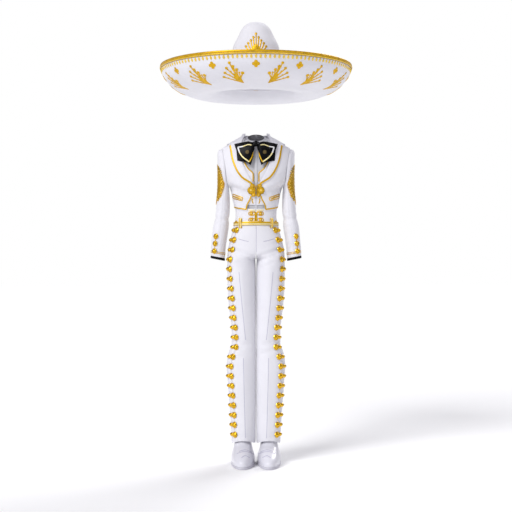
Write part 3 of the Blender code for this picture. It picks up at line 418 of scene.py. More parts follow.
def shirt_front(u, z, lift, hand):
    start = angle_at(HALF_SEAM, torso_half_width(z))
    angle = start + (limit("front", z, UNDER_INSET) - start) * u
    share = np.clip((z - SHOULDER_Z) / (SHIRT_SIDE_TOP_Z - SHOULDER_Z), 0, 1)
    z = np.where(z > SHOULDER_Z, SHOULDER_Z + (shirt_neckline(angle) - SHOULDER_Z) * share, z)
    return under_jacket(angle, z, lift)


def shirt_back(u, z, lift, hand):
    return under_jacket(math.pi - u * limit("back", z, UNDER_INSET), z, lift)


def placket(x, z, lift, hand):
    return under_jacket(angle_at(x, torso_half_width(z)), z, lift)


def shirt_collar(angle, down, lift, hand):
    """From the neck ring out and down to the shirt's neckline, with a soft roll."""
    x, y = oval(NECK_HALF_WIDTH, NECK_DEPTH, NECK_DEPTH, angle, 2)
    neck = np.stack([x, y, NECK_FRONT_Z + NECK_RISE * (1 - np.cos(angle)) / 2], -1)
    rim = under_jacket(angle, shirt_neckline(angle) + COLLAR_RIM_RISE, SHIRT[0] + COLLAR_RIM_OUT)
    point = neck + (rim - neck) * down[..., None]
    point[..., 2] += lift + COLLAR_ROLL * np.sin(math.pi * down)
    return point


heights = under_heights(SHIRT_TAIL_Z, SHIRT_SIDE_TOP_Z)
two_sides("shirt_front", shirt_front, eased(0, 1, 24), heights, SHIRT, shirt_cotton, slot="shirt_cloth")
cloth("shirt_back", shirt_back, eased(-1, 1, 36), heights, SHIRT, shirt_cotton, slot="shirt_cloth")
across = np.linspace(-PLACKET_HALF_WIDTH, PLACKET_HALF_WIDTH, 9)
heights = np.linspace(PLACKET_FOOT_Z, PLACKET_TOP_Z, 40)
cloth("shirt_placket", placket, across, heights, PLACKET, shirt_cotton, slot="shirt_cloth")
half_turn, down = np.linspace(0.12, math.pi - 0.01, 40), np.linspace(0, 1, 9)
two_sides("shirt_collar", shirt_collar, half_turn, down, COLLAR_WALL, shirt_cotton, slot="shirt_cloth")

# Waistcoat. White wool like the jacket, two fronts that meet below the clasp, and a back.
# It lies between the shirt and the jacket, a little inside the armholes.
WAISTCOAT_POINT_Z, WAISTCOAT_SIDE_Z, WAISTCOAT_TOP_Z = -0.268, -0.262, 0.026


def waistcoat_level(row, point_z, side_z, u):
    """The height of each row of the panel, whose hem runs from the point to the side seam."""
    low, high = under_heights(point_z, WAISTCOAT_TOP_Z), under_heights(side_z, WAISTCOAT_TOP_Z)
    keys = np.arange(len(low))
    return np.interp(row, keys, low) * (1 - u) + np.interp(row, keys, high) * u


def waistcoat_front(u, row, lift, hand):
    z = waistcoat_level(row, WAISTCOAT_POINT_Z, WAISTCOAT_SIDE_Z, u)
    start = angle_at(FRONT_EDGE["waistcoat"](z), torso_half_width(z))
    return under_jacket(start + (limit("front", z, UNDER_INSET) - start) * u, z, lift)


def waistcoat_back(u, row, lift, hand):
    z = waistcoat_level(row, WAISTCOAT_SIDE_Z, WAISTCOAT_SIDE_Z, u * 0)
    return under_jacket(math.pi - u * limit("back", z, UNDER_INSET), z, lift)


waistcoat_rows = np.arange(len(under_heights(0, WAISTCOAT_TOP_Z)), dtype=float)
two_sides("waistcoat_front", waistcoat_front, eased(0, 1, 28), waistcoat_rows, WAISTCOAT, suit_wool)
cloth("waistcoat_back", waistcoat_back, eased(-1, 1, 40), waistcoat_rows, WAISTCOAT, suit_wool)

# Jacket. White wool twill: two fronts and a back sewn at the sides, shoulders and armholes,
# two-piece sleeves, and a wide shawl collar that rolls out from the neck to the front clasp.
JACKET, LAPEL, ROLL_DIP = (0.0, -0.0016), (0.0034, 0.0018), 0.0012
SHOULDER_EASE, COLLAR_FALL_EASE, COLLAR_CORNER, COLLAR_BACK_Z = 0.0020, 0.0032, 0.92, -0.072
JACKET_SIDE_HEM_Z, JACKET_CORNER_HEM_Z, NECK_TOP_Z, LAPEL_FOOT_Z = -0.279, -0.2926, 0.046, -0.172
LAPEL_EDGE_COLUMNS = ("z", "x")
LAPEL_EDGE_ROWS = (
    (-0.176, 0.0240),
    (-0.168, 0.0360),
    (-0.148, 0.0660),
    (-0.114, 0.0898),
    (-0.063, 0.1080),
    (-0.013, 0.1166),
    (0.000, 0.1200),
)
LAPEL_EDGE = read_table(LAPEL_EDGE_COLUMNS, LAPEL_EDGE_ROWS)
SLEEVE_COLUMNS = ("row", "outer_x", "outer_z", "inner_x", "inner_z", "half_depth", "y")
SLEEVE_ROWS = (
    (0, 0.1500, -0.0176, 0.1150, -0.1870, 0.0600, 0.000),
    (1, 0.1640, -0.0235, 0.1180, -0.1905, 0.0590, 0.000),
    (2, 0.1698, -0.0400, 0.1182, -0.1960, 0.0570, 0.000),
    (3, 0.1700, -0.0640, 0.1175, -0.2040, 0.0540, 0.000),
    (4, 0.1686, -0.0920, 0.1168, -0.2130, 0.0510, 0.000),
    (5, 0.1674, -0.1260, 0.1160, -0.2240, 0.0475, 0.000),
    (6, 0.1677, -0.1640, 0.1155, -0.2380, 0.0450, -0.001),
    (7, 0.1692, -0.2040, 0.1150, -0.2590, 0.0430, -0.002),
    (8, 0.1722, -0.2460, 0.1150, -0.2850, 0.0415, -0.004),
    (9, 0.1760, -0.2850, 0.1165, -0.3080, 0.0405, -0.006),
    (10, 0.1800, -0.3180, 0.1180, -0.3230, 0.0395, -0.008),
    (11, 0.1883, -0.3600, 0.1200, -0.3620, 0.0395, -0.010),
    (12, 0.1925, -0.4020, 0.1260, -0.4060, 0.0380, -0.012),
    (13, 0.1972, -0.4480, 0.1330, -0.4570, 0.0370, -0.014),
    (14, 0.1990, -0.4976, 0.1370, -0.5100, 0.0350, -0.016),
)
SLEEVE = read_table(SLEEVE_COLUMNS, SLEEVE_ROWS)
CUFF_BAND_ROW, SLEEVE_END_ROW = 13.78, 14.0
SLEEVE_RADIUS, ARMHOLE_LAP = 0.05, 0.00048


def on_torso(angle, z, lift, hand=1):
    return laid(torso_form, angle, z, lift, hand=hand)


def sleeve_form(turn, row):
    """A slanted oval round the arm: turn 0 is the inner side, a quarter turn is the front."""
    turn, row = np.broadcast_arrays(np.asarray(turn, float), np.asarray(row, float))
    outer = np.stack([SLEEVE["outer_x"](row), SLEEVE["y"](row), SLEEVE["outer_z"](row)], -1)
    inner = np.stack([SLEEVE["inner_x"](row), SLEEVE["y"](row), SLEEVE["inner_z"](row)], -1)
    point = (outer + inner) / 2 + (inner - outer) / 2 * np.cos(turn)[..., None]
    point[..., 1] -= SLEEVE["half_depth"](row) * np.sin(turn)
    rise = np.clip((point[..., 2] - UNDERARM_Z) / (SHOULDER_Z - UNDERARM_Z), 0, 1)
    bow = 2 * rise * (1 - rise) ** 4 * (SHOULDER_X - UNDERARM_X) + ARMHOLE_LAP
    point[..., 0] += np.maximum(0, 1 - row / 2) * bow
    return point


def on_sleeve(turn, row, lift, hand=1):
    return laid(sleeve_form, turn, row, lift, turned=-1, hand=hand)


def jacket_heights(hem_z):
    low = np.linspace(hem_z, UNDERARM_Z, 18)[:-1]
    turn = np.linspace(0, math.pi, 30)
    armhole = (UNDERARM_Z + SHOULDER_Z) / 2 - (SHOULDER_Z - UNDERARM_Z) / 2 * np.cos(turn)
    return np.concatenate([low, armhole, np.linspace(SHOULDER_Z, NECK_TOP_Z, 14)[1:]])


def jacket_front(u, row, lift, hand):
    low, high = jacket_heights(JACKET_CORNER_HEM_Z), jacket_heights(JACKET_SIDE_HEM_Z)
    keys = np.arange(len(low))
    z = np.interp(row, keys, low) * (1 - u) + np.interp(row, keys, high) * u
    start = angle_at(FRONT_EDGE["jacket"](z), torso_half_width(z))
    return on_torso(start + (limit("front", z) - start) * u, z, lift, hand)


def jacket_back(u, row, lift, hand):
    z = jacket_heights(JACKET_SIDE_HEM_Z)[row.astype(int)]
    return on_torso(math.pi - u * limit("back", z), z, lift, hand)


def shoulder_ease(z):
    return SHOULDER_EASE * np.exp(-((z / EASE_SPAN) ** 2))


def lapel(u, z, lift, hand):
    start = angle_at(FRONT_EDGE["jacket"](z), torso_half_width(z))
    end = side_angle(TORSO["front"](z))
    edge = np.minimum(end, angle_at(LAPEL_EDGE["x"](z), torso_half_width(z)))
    end = np.where(z < 0, edge, end)
    rolled = lift - ROLL_DIP * (1 - u) ** 2 + shoulder_ease(z)
    return on_torso(start + (end - start) * u, z, rolled, hand)


def collar_back(u, level, lift, hand):
    """Heights down to the shoulder line, then negative shares of the way to its curved edge."""
    side = side_angle(TORSO["back"](0.0))
    down = np.maximum(0, -level)
    z = np.where(level < 0, down * COLLAR_BACK_Z * (1 - COLLAR_CORNER * np.abs(u) ** 1.6), level)
    foot = np.minimum(side, angle_at(np.abs(u) * LAPEL_EDGE["x"](0.0), torso_half_width(z)))
    turn = np.abs(u) * side
    turn = turn + (foot - turn) * down
    out = shoulder_ease(np.maximum(level, 0)) + COLLAR_FALL_EASE * np.minimum(1, 4 * down)
    return on_torso(math.pi - np.sign(u) * turn, z, lift + out, hand)


jacket_rows = np.arange(len(jacket_heights(0)), dtype=float)
two_sides("jacket_front", jacket_front, eased(0, 1, 40), jacket_rows, JACKET, suit_wool)
cloth("jacket_back", jacket_back, eased(-1, 1, 70), jacket_rows, JACKET, suit_wool)
lapel_heights = np.concatenate([np.linspace(LAPEL_FOOT_Z, 0.000, 50), np.linspace(0, NECK_TOP_Z, 14)[1:]])
two_sides("lapel", lapel, eased(0, 1, 30), lapel_heights, LAPEL, suit_wool)
collar_levels = np.concatenate([np.linspace(NECK_TOP_Z, 0.0005, 14), -np.linspace(0.02, 1, 24)])
cloth("collar_back", collar_back, eased(-1, 1, 64), collar_levels, LAPEL, suit_wool)
quarter, gap = math.pi / 2, HALF_SEAM / SLEEVE_RADIUS
sleeve_rows = np.concatenate([eased(0, 9, 46), np.linspace(9.15, CUFF_BAND_ROW, 36)])
under_turn = eased(gap - quarter, quarter - gap, 32)
upper_turn = eased(quarter + gap, 3 * quarter - gap, 32)
two_sides("sleeve_under", on_sleeve, under_turn, sleeve_rows, JACKET, suit_wool)
two_sides("sleeve_upper", on_sleeve, upper_turn, sleeve_rows, JACKET, suit_wool)

# Trousers. The same wool, cut tall in the waist: two fronts and two backs, joined under the strip
# of conchas at the side, with a separate waistband in three pieces and a belt of gold braid made pale as
# painted highlight.
LEG_RADIUS, WAIST_RADIUS, HEM_FALL_Z = 0.06, 0.08, -1.20
WAISTBAND_TOP_Z, BELT_TOP_Z, BELT_FOOT_Z = -0.2830, -0.3385, -0.3545
LOOP_X, LOOP_TOP_Z, LOOP_DROP, LOOP_WIDTH = 0.0685, -0.3225, 0.044, 0.012
LOOP_SEAT, LOOP_RISE, LOOP_WALL = 0.0012, 0.0042, (0.0014, 0)
LEG_ROUNDNESS, HEM_Z, INSTEP_RISE, CROTCH_Z = 2.2, -1.308, 0.015, -0.505
TROUSER, WAISTBAND, ON_WAISTBAND = (-0.0028, -0.0044), (-0.0028, -0.0046), (-0.0001, -0.0022)
LEG_COLUMNS = ("z", "outer", "inner", "front", "back", "y")
LEG_ROWS = (
    (-0.352, 0.1000, -0.1000, 0.0770, 0.0860, 0.000),
    (-0.385, 0.1080, -0.1060, 0.0800, 0.0960, 0.000),
    (-0.430, 0.1200, -0.0980, 0.0840, 0.1040, 0.000),
    (-0.465, 0.1265, -0.0720, 0.0860, 0.1050, 0.001),
    (-0.490, 0.1285, -0.0360, 0.0870, 0.1020, 0.002),
    (-0.505, 0.1290, 0.0004, 0.0870, 0.0980, 0.003),
    (-0.525, 0.1292, -0.0008, 0.0865, 0.0930, 0.004),
    (-0.570, 0.1290, -0.0016, 0.0850, 0.0870, 0.004),
    (-0.640, 0.1275, -0.0018, 0.0800, 0.0800, 0.003),
    (-0.720, 0.1215, -0.0018, 0.0720, 0.0730, 0.002),
    (-0.780, 0.1135, -0.0016, 0.0660, 0.0670, 0.001),
    (-0.830, 0.1100, -0.0014, 0.0620, 0.0620, 0.000),
    (-0.875, 0.1125, -0.0015, 0.0610, 0.0610, 0.001),
    (-0.905, 0.1215, -0.0017, 0.0625, 0.0660, 0.004),
    (-0.940, 0.1300, -0.0018, 0.0640, 0.0700, 0.006),
    (-0.970, 0.1320, -0.0018, 0.0645, 0.0710, 0.007),
    (-1.034, 0.1276, -0.0018, 0.0640, 0.0690, 0.007),
    (-1.157, 0.1188, -0.0016, 0.0625, 0.0650, 0.006),
    (-1.240, 0.1130, -0.0012, 0.0640, 0.0650, 0.004),
    (-1.320, 0.1100, -0.0008, 0.0660, 0.0660, 0.002),
)
OUTSEAM_COLUMNS = ("z", "x")
OUTSEAM_ROWS = (
    (-0.352, 0.0790),
    (-0.375, 0.0858),
    (-0.418, 0.0972),
    (-0.462, 0.1068),
    (-0.500, 0.1128),
    (-0.540, 0.1143),
    (-0.600, 0.1100),
    (-0.680, 0.1030),
    (-0.760, 0.0962),
    (-0.838, 0.0880),
    (-0.885, 0.0905),
    (-0.925, 0.1020),
    (-0.965, 0.1100),
    (-1.010, 0.1087),
    (-1.100, 0.1016),
    (-1.190, 0.0962),
    (-1.268, 0.0933),
    (-1.320, 0.0925),
)
LEG = read_table(LEG_COLUMNS, LEG_ROWS)
OUTSEAM = read_table(OUTSEAM_COLUMNS, OUTSEAM_ROWS)


def leg_ring(z):
    return (LEG["outer"](z) + LEG["inner"](z)) / 2, (LEG["outer"](z) - LEG["inner"](z)) / 2


def leg_form(angle, z):
    angle, z = np.broadcast_arrays(np.asarray(angle, float), np.asarray(z, float))
    middle, half = leg_ring(z)
    x, y = oval(half, LEG["front"](z), LEG["back"](z), angle, LEG_ROUNDNESS)
    return np.stack([middle + x, y + LEG["y"](z), z], -1)


def on_leg(angle, z, lift, hand=1):
    return laid(leg_form, angle, z, lift, hand=hand)


def outseam_angle(z):
    middle, half = leg_ring(z)
    return angle_at(OUTSEAM["x"](z) - middle, half, LEG_ROUNDNESS)


def inner_angle(z):
    middle, half = leg_ring(z)
    inseam = -side_angle(LEG["front"](z), LEG_ROUNDNESS)
    middle_seam = angle_at(HALF_SEAM - middle, half, LEG_ROUNDNESS)
    return np.where(z < CROTCH_Z, inseam, np.maximum(middle_seam, inseam))


def with_hem(angle, z):
    """Lifts the hem in front, where it breaks over the instep."""
    near = np.maximum(0, (z - HEM_FALL_Z) / (HEM_Z - HEM_FALL_Z))
    return z + INSTEP_RISE * np.maximum(0, np.cos(angle)) ** 2 * near


def trouser_front(u, z, lift, hand):
    start, end = inner_angle(z), outseam_angle(z) - HALF_SEAM / LEG_RADIUS
    angle = start + (end - start) * u
    return on_leg(angle, with_hem(angle, z), lift, hand)


def trouser_back(u, z, lift, hand):
    start, end = outseam_angle(z) + HALF_SEAM / LEG_RADIUS, math.pi - inner_angle(z)
    angle = start + (end - start) * u
    return on_leg(angle, with_hem(angle, z), lift, hand)


seat, crotch = np.linspace(WAIST_SEAM_Z - HALF_SEAM, -0.455, 16), np.linspace(-0.46, -0.54, 22)
leg_heights = np.concatenate([seat, crotch, np.linspace(-0.55, HEM_Z, 110)])
two_sides("trouser_front", trouser_front, eased(0, 1, 30), leg_heights, TROUSER, suit_wool)
two_sides("trouser_back", trouser_back, eased(0, 1, 36), leg_heights, TROUSER, suit_wool)
band_gap, side_gap = HALF_SEAM / WAIST_RADIUS, 4 * HALF_SEAM / WAIST_RADIUS
band_heights = np.linspace(WAISTBAND_TOP_Z, WAIST_SEAM_Z + HALF_SEAM, 22)
front_turn = eased(band_gap, quarter - side_gap, 28)
back_turn = eased(quarter + side_gap, 3 * quarter - side_gap, 50)
two_sides("waistband_front", on_torso, front_turn, band_heights, WAISTBAND, suit_wool)
cloth("waistband_back", on_torso, back_turn, band_heights, WAISTBAND, suit_wool)


def thread_gold(name, colour, roughness, metallic=0.75, period=0.0016):
    """Metal thread braid: short slanting stitches with a soft glint."""
    metal = {"metallic": metallic, "shade": 0.80, "patch": 60}
    made, nodes, links, surface, place = textured(name, colour, roughness, **metal)
    slant = bands(nodes, links, place, "Object", period, "DIAGONAL")
    add_bump(nodes, links, surface, slant.outputs["Fac"], 0.5, 0.0003)
    return made


gold_braid = thread_gold("gold_braid", (0.78, 0.46, 0.012), 0.42)
# A darker copy of the gold braid, used as painted shade: the grooves of the sleeve's stitched lines, the
# backing round the clasp's petals and the brim's thin line.
painted_shade_gold = thread_gold("painted_shade_gold", (0.40, 0.24, 0.008), 0.55, metallic=0.5)
# A paler copy of the gold braid, used as painted highlight: the belt, the front belt loops, the braid at the
# top of the waistband and the bow's outer edges.
painted_highlight_braid = thread_gold("painted_highlight_braid", (0.98, 0.86, 0.42), 0.50, metallic=0.35)
gold_metal = textured("gold_metal", (0.84, 0.50, 0.03), 0.24, metallic=1.0, shade=0.86, patch=40)[0]
turn_round = np.linspace(0, 2 * math.pi, 121)
belt_heights = np.linspace(BELT_TOP_Z, BELT_FOOT_Z, 8)
braided = {"slot": "gold_braid", "soft": False}
cloth("belt", on_torso, turn_round, belt_heights, ON_WAISTBAND, painted_highlight_braid, ring=True, **braided)


def belt_loop(middle_x, behind=False):
    """A strap that starts flat on the band, stands out over the belt and ends on the trousers."""

    def place(u, v, lift, hand):
        z = LOOP_TOP_Z - LOOP_DROP * v
        x = middle_x + LOOP_WIDTH * (u - 0.5)
        out = WAISTBAND[0] + LOOP_SEAT + LOOP_RISE * np.sqrt(np.maximum(0, np.sin(math.pi * v))) + lift
        angle = angle_at(x, torso_half_width(z))
        upper = on_torso(math.pi - angle if behind else angle, z, out, hand)
        middle, half = leg_ring(z)
        angle = angle_at(x - middle, half, LEG_ROUNDNESS)
        lower = on_leg(math.pi - angle if behind else angle, z, out, hand)
        return np.where((z > WAIST_SEAM_Z)[..., None], upper, lower)

    return place


# The front loops take the pale braid of painted highlight; the back loop takes the plain gold braid.
across, down = np.linspace(0, 1, 8), np.linspace(0, 1, 24)
two_sides("belt_loop", belt_loop(LOOP_X), across, down, LOOP_WALL, painted_highlight_braid, **braided)
cloth("belt_loop_back", belt_loop(0, True), across, down, LOOP_WALL, gold_braid, **braided)

# Cuff bands and bow tie. Black satin: a turned band inside each cuff, and a wide bow of two
# kite-shaped wings over two tails, gathered into one knot at the throat.
black_satin = woven("black_satin", (0.002, 0.002, 0.003), 0.0006, 0.15, 0.42, 0.0, twill=False, shade=0.7)
black_satin.node_tree.nodes["Principled BSDF"].inputs["Specular IOR Level"].default_value = 0.12
CUFF_BAND, TAIL_WALL, WING_WALL, KNOT_WALL = (0.0006, -0.0014), (0.0018, 0), (0.0020, 0), (0, -0.0012)
TAIL_CLEARANCE, TAIL_PUFF, TAIL_PLEATS = 0.0046, 0.0015, 0.0002
WING_CLEARANCE, WING_PUFF, WING_PLEATS, WING_BULGE = 0.0110, 0.0090, 0.0009, 0.0140
KNOT_Z, KNOT_OUT, KNOT_HALF_WIDTH, KNOT_HALF_DEPTH, KNOT_HALF_HEIGHT = -0.003, 0.0158, 0.0088, 0.0095, 0.013
KNOT_SPREAD, KNOT_END = 40, 1.45
cuff_turn = np.linspace(0, 2 * math.pi, 65)
band_rows = np.linspace(CUFF_BAND_ROW + 0.008, SLEEVE_END_ROW, 6)
satin = {"slot": "black_satin"}
two_sides("cuff_band", on_sleeve, cuff_turn, band_rows, CUFF_BAND, black_satin, ring=True, **satin)
BOW_TAIL_TOP = ((0.0040, -0.003), (0.045, -0.016), (0.086, -0.022))
BOW_TAIL_FOOT = ((0.0060, -0.026), (0.036, -0.086), (0.081, -0.076))
BOW_WING_TOP = ((0.0092, 0.002), (0.033, 0.0085), (0.0946, -0.002))
BOW_WING_FOOT = ((0.0092, -0.020), (0.012, -0.062), (0.0224, -0.0968))


def front_surface_y(x, z):
    half = torso_half_width(z)
    return laid(torso_form, angle_at(np.minimum(x, half * 0.98), half), z, 0.0, creased=False)[..., 1]


def bow_place(top, foot, clearance, puff, pleats, bulge=0.0):
    """A bow piece between its top and lower edges, with pleats that fan out of the knot."""
    away = np.array([top[-1][1] - foot[-1][1], foot[-1][0] - top[-1][0]])
    away = away / np.linalg.norm(away) * bulge

    def edge(points, u):
        keys = np.linspace(0, 1, len(points))
        return [np.interp(u, keys, [point[axis] for point in points]) for axis in (0, 1)]

    def place(u, v, lift, hand):
        (top_x, top_z), (foot_x, foot_z) = edge(top, u), edge(foot, u)
        swell = u**2 * np.sin(math.pi * v)
        x = top_x + (foot_x - top_x) * v + away[0] * swell
        z = top_z + (foot_z - top_z) * v + away[1] * swell
        rise = clearance + puff * np.sin(math.pi * v) * (0.4 + 0.6 * np.sin(math.pi * u))
        rise = rise + pleats * np.cos(7 * math.pi * v) * np.exp(-3 * u)
        return np.stack([x, front_surface_y(x, z) - rise - lift, z], -1)

    return place


tail = bow_place(BOW_TAIL_TOP, BOW_TAIL_FOOT, TAIL_CLEARANCE, TAIL_PUFF, TAIL_PLEATS)
wing = bow_place(BOW_WING_TOP, BOW_WING_FOOT, WING_CLEARANCE, WING_PUFF, WING_PLEATS, WING_BULGE)
two_sides("bow_tail", tail, eased(0, 1, 30), eased(0, 1, 26), TAIL_WALL, black_satin, **satin)
two_sides("bow_wing", wing, eased(0, 1, 36), eased(0, 1, 40), WING_WALL, black_satin, **satin)


def knot_place(turn, rise, lift, hand):
    """The knot: a soft band wrapped round the middle, with pleats down it."""
    ring = np.cos(rise) * (1 + 0.05 * np.cos(6 * turn))
    centre_y = float(front_surface_y(np.array(0.0), np.array(KNOT_Z))) - KNOT_OUT
    x = KNOT_HALF_WIDTH * ring * np.sin(turn)
    y = centre_y - KNOT_HALF_DEPTH * ring * np.cos(turn)
    z = KNOT_Z + KNOT_HALF_HEIGHT * np.sin(rise)
    spread = 1 + lift * KNOT_SPREAD
    return np.stack([x * spread, y, z * spread], -1)


knot_turn, knot_rise = np.linspace(0, 2 * math.pi, 49), np.linspace(-KNOT_END, KNOT_END, 24)
cloth("bow_knot", knot_place, knot_turn, knot_rise, KNOT_WALL, black_satin, ring=True, dip=False, **satin)

# Boots. White leather ankle boots with a toe cap and a thin stacked sole.
BOOT_X, BOOT_TOP_Z, BOOT_FOOT_Z, BOOT_WALL = 0.0572, -1.2200, -1.3857, (0, -0.002)
SOLE_Z, SOLE_HALF_WIDTH, SOLE_TOE, SOLE_HEEL, SOLE_THICKNESS = -1.396, 0.0517, 0.183, 0.072, 0.0098
SOLE_WALL, WELT_INSET, TREAD_INSET = (0, -0.045), 0.0012, 0.003
BOOT_COLUMNS = ("z", "half_width", "toe", "heel")
BOOT_ROWS = (
    (-1.3857, 0.0500, 0.1800, 0.0700),
    (-1.3720, 0.0512, 0.1800, 0.0710),
    (-1.3560, 0.0490, 0.1660, 0.0690),
    (-1.3420, 0.0450, 0.1360, 0.0650),
    (-1.3280, 0.0410, 0.0980, 0.0610),
    (-1.3130, 0.0380, 0.0620, 0.0560),
    (-1.2960, 0.0360, 0.0490, 0.0530),
    (-1.2200, 0.0350, 0.0460, 0.0510),
)
BOOT = read_table(BOOT_COLUMNS, BOOT_ROWS)
finish = {"coat": 0.25, "shade": 0.95}
white_leather, nodes, links, surface, place = textured("white_leather", (0.74, 0.735, 0.80), 0.34, **finish)
grain = nodes.new("ShaderNodeTexVoronoi")
grain.inputs["Scale"].default_value = 700
links.new(place.outputs["Object"], grain.inputs["Vector"])
add_bump(nodes, links, surface, grain.outputs["Distance"], 0.12, 0.0002)
sole_leather = textured("sole_leather", (0.62, 0.61, 0.68), 0.5, shade=0.9)[0]


def boot_form(angle, z):
    angle, z = np.broadcast_arrays(np.asarray(angle, float), np.asarray(z, float))
    x, y = oval(BOOT["half_width"](z), BOOT["toe"](z), BOOT["heel"](z), angle, LEG_ROUNDNESS)
    return np.stack([BOOT_X + x, y, z], -1)


def boot(angle, z, lift, hand):
    return laid(boot_form, angle, z, lift, creased=False)


def sole(angle, level, lift, hand):
    """The sole's edge: its profile steps in at the top, where the welt is stitched."""
    inset = np.interp(level, [0, 0.12, 0.6, 0.7, 1], [TREAD_INSET, 0, 0, WELT_INSET, WELT_INSET]) - lift
    x, y = oval(SOLE_HALF_WIDTH - inset, SOLE_TOE - inset, SOLE_HEEL - inset, angle, LEG_ROUNDNESS)
    return np.stack([BOOT_X + x, y, SOLE_Z + SOLE_THICKNESS * level], -1)


boot_turn, boot_heights = np.linspace(0, 2 * math.pi, 73), np.linspace(BOOT_FOOT_Z, BOOT_TOP_Z, 60)
levels = np.array([0, 0.06, 0.12, 0.6, 0.7, 1.0])
turned = {"ring": True, "dip": False, "soft": False}
leather = {"slot": "boot_leather", **turned}
for label, side in SIDES:
    cloth(f"boot_upper_{label}", boot, boot_turn, boot_heights, BOOT_WALL, white_leather, side=side, **leather)
    cloth(f"boot_sole_{label}", sole, boot_turn, levels, SOLE_WALL, sole_leather, side=side, **leather)

# Sombrero. Blocked white felt: a tall crown and a very wide brim turned up all round, its edge
# bound in gold. Both are turned shells that follow the solids' outer lines.
CROWN_LINE = (
    (0.0006, 0.5377),
    (0.0300, 0.5350),
    (0.0580, 0.5150),
    (0.0814, 0.4710),
    (0.0990, 0.4356),
    (0.1040, 0.4150),
    (0.1120, 0.3700),
    (0.1260, 0.3150),
    (0.1480, 0.2620),
)
BRIM_LINE = (
    (0.1484, 0.2612),
    (0.1750, 0.2310),
    (0.2150, 0.2175),
    (0.2600, 0.2150),
    (0.3300, 0.2350),
    (0.3700, 0.2610),
    (0.4000, 0.2945),
    (0.4190, 0.3355),
)
FELT, LINE_END, HAT_STEPS = 0.003, 0.0002, 144
EDGE_RADIUS, EDGE_Z, EDGE_HALF_WIDTH, EDGE_HALF_HEIGHT, EDGE_STEPS = 0.4185, 0.3405, 0.0026, 0.0048, 12
finish = {"sheen": 0.35, "shade": 0.96, "patch": 14}
hat_felt, nodes, links, surface, place = textured("hat_felt", (0.78, 0.775, 0.82), 0.85, **finish)
fuzz = nodes.new("ShaderNodeTexNoise")
fuzz.inputs["Scale"].default_value = 900
links.new(place.outputs["Object"], fuzz.inputs["Vector"])
add_bump(nodes, links, surface, fuzz.outputs["Fac"], 0.15, 0.0004)


def turned_line(line):
    """Radius and height along the line's length, and its whole length."""
    points = np.array(line)
    reach = np.concatenate([[0], np.cumsum(np.linalg.norm(np.diff(points, axis=0), axis=1))])
    return curve(reach, points[:, 0]), curve(reach, points[:, 1]), reach[-1]


def turned_place(line):
    radius, height, reach = turned_line(line)

    def place(angle, along, lift, hand=1):
        d_radius = radius(along + NUDGE) - radius(along - NUDGE)
        d_height = height(along + NUDGE) - height(along - NUDGE)
        size = np.hypot(d_radius, d_height)
        r = radius(along) - d_height / size * lift
        z = height(along) + d_radius / size * lift
        return np.stack([r * np.sin(angle), -r * np.cos(angle), z], -1)

    return place, reach


on_crown, crown_reach = turned_place(CROWN_LINE)
on_brim, brim_reach = turned_place(BRIM_LINE)
hat_turn = np.linspace(0, 2 * math.pi, HAT_STEPS + 1)
for name, place, reach in (("crown", on_crown, crown_reach), ("brim", on_brim, brim_reach)):
    along = np.linspace(LINE_END, reach - LINE_END, 60)
    cloth(f"sombrero_{name}", place, hat_turn, along, (0, -FELT), hat_felt, slot="hat_felt", **turned)


def edge_binding(angle, turn):
    """A rolled gold binding round the brim's lip."""
    r = EDGE_RADIUS + EDGE_HALF_WIDTH * np.cos(turn)
    return np.stack([r * np.sin(angle), -r * np.cos(angle), EDGE_Z + EDGE_HALF_HEIGHT * np.sin(turn)], -1)


edge_turn = np.linspace(2 * math.pi, 0, EDGE_STEPS + 1)
grid_turn, grid_angle = np.meshgrid(edge_turn[:-1], hat_turn[:-1])
points = edge_binding(grid_angle, grid_turn).reshape(-1, 3)
index = np.arange(HAT_STEPS * EDGE_STEPS).reshape(HAT_STEPS, EDGE_STEPS)
beside, above = np.roll(index, -1, 1), np.roll(index, -1, 0)
faces = np.stack([index, beside, np.roll(beside, -1, 0), above], -1).reshape(-1, 4)[:, ::-1]
new_piece("sombrero_edge_binding", points, faces, gold_braid, ("sombrero_edge_binding",))

# Gold braid and embroidery. Cords and stripes are laid as half-round strips on the cloth, and
# flat ornament as low raised shapes, each point put on the cloth that it shows on in the photograph.
EYE = Vector((0, -5, -0.4884))
OUT_STEP = 0.001


def both(name):
    return [f"{name}_left", f"{name}_right"]


def label_of(side):
    return "left" if side == 1 else "right"


def tree_of(*names):
    points, faces = [], []
    for name in names:
        mesh = pieces[name].data
        start = len(points)
        points += [vertex.co.copy() for vertex in mesh.vertices]
        faces += [[start + i for i in polygon.vertices] for polygon in mesh.polygons]
    return BVHTree.FromPolygons(points, faces)


def seen(names, behind=False):
    """Gives the point and normal of the cloth on the line of sight through x, z at mid depth."""
    tree = tree_of(*names)
    eye = Vector((0, -EYE.y if behind else EYE.y, EYE.z))

    def place(x, z):
        hit, normal = tree.ray_cast(eye, Vector((x, 0, z)) - eye)[:2]
        if hit is None:
            hit, normal = tree.find_nearest(Vector((x, math.copysign(0.06, eye.y), z)))[:2]
        return hit, normal if normal.dot(eye - hit) > 0 else -normal

    return place


def smooth_line(line, step=0.003, closed=False):
    """A Catmull-Rom line through the points, in even small steps."""
    points = [np.array(point, float) for point in line]
    ends = (points[-1:], points[:2]) if closed else (points[:1], points[-1:])
    points = ends[0] + points + ends[1]
    out = []
    for a, b, c, d in zip(points, points[1:], points[2:], points[3:]):
        count = max(2, int(np.linalg.norm(c - b) / step))
        square, cube = 2 * a - 5 * b + 4 * c - d, 3 * b - a - 3 * c + d
        for t in np.arange(count) / count:
            out.append(0.5 * (2 * b + (c - a) * t + square * t**2 + cube * t**3))
    return out if closed else out + [points[-2]]


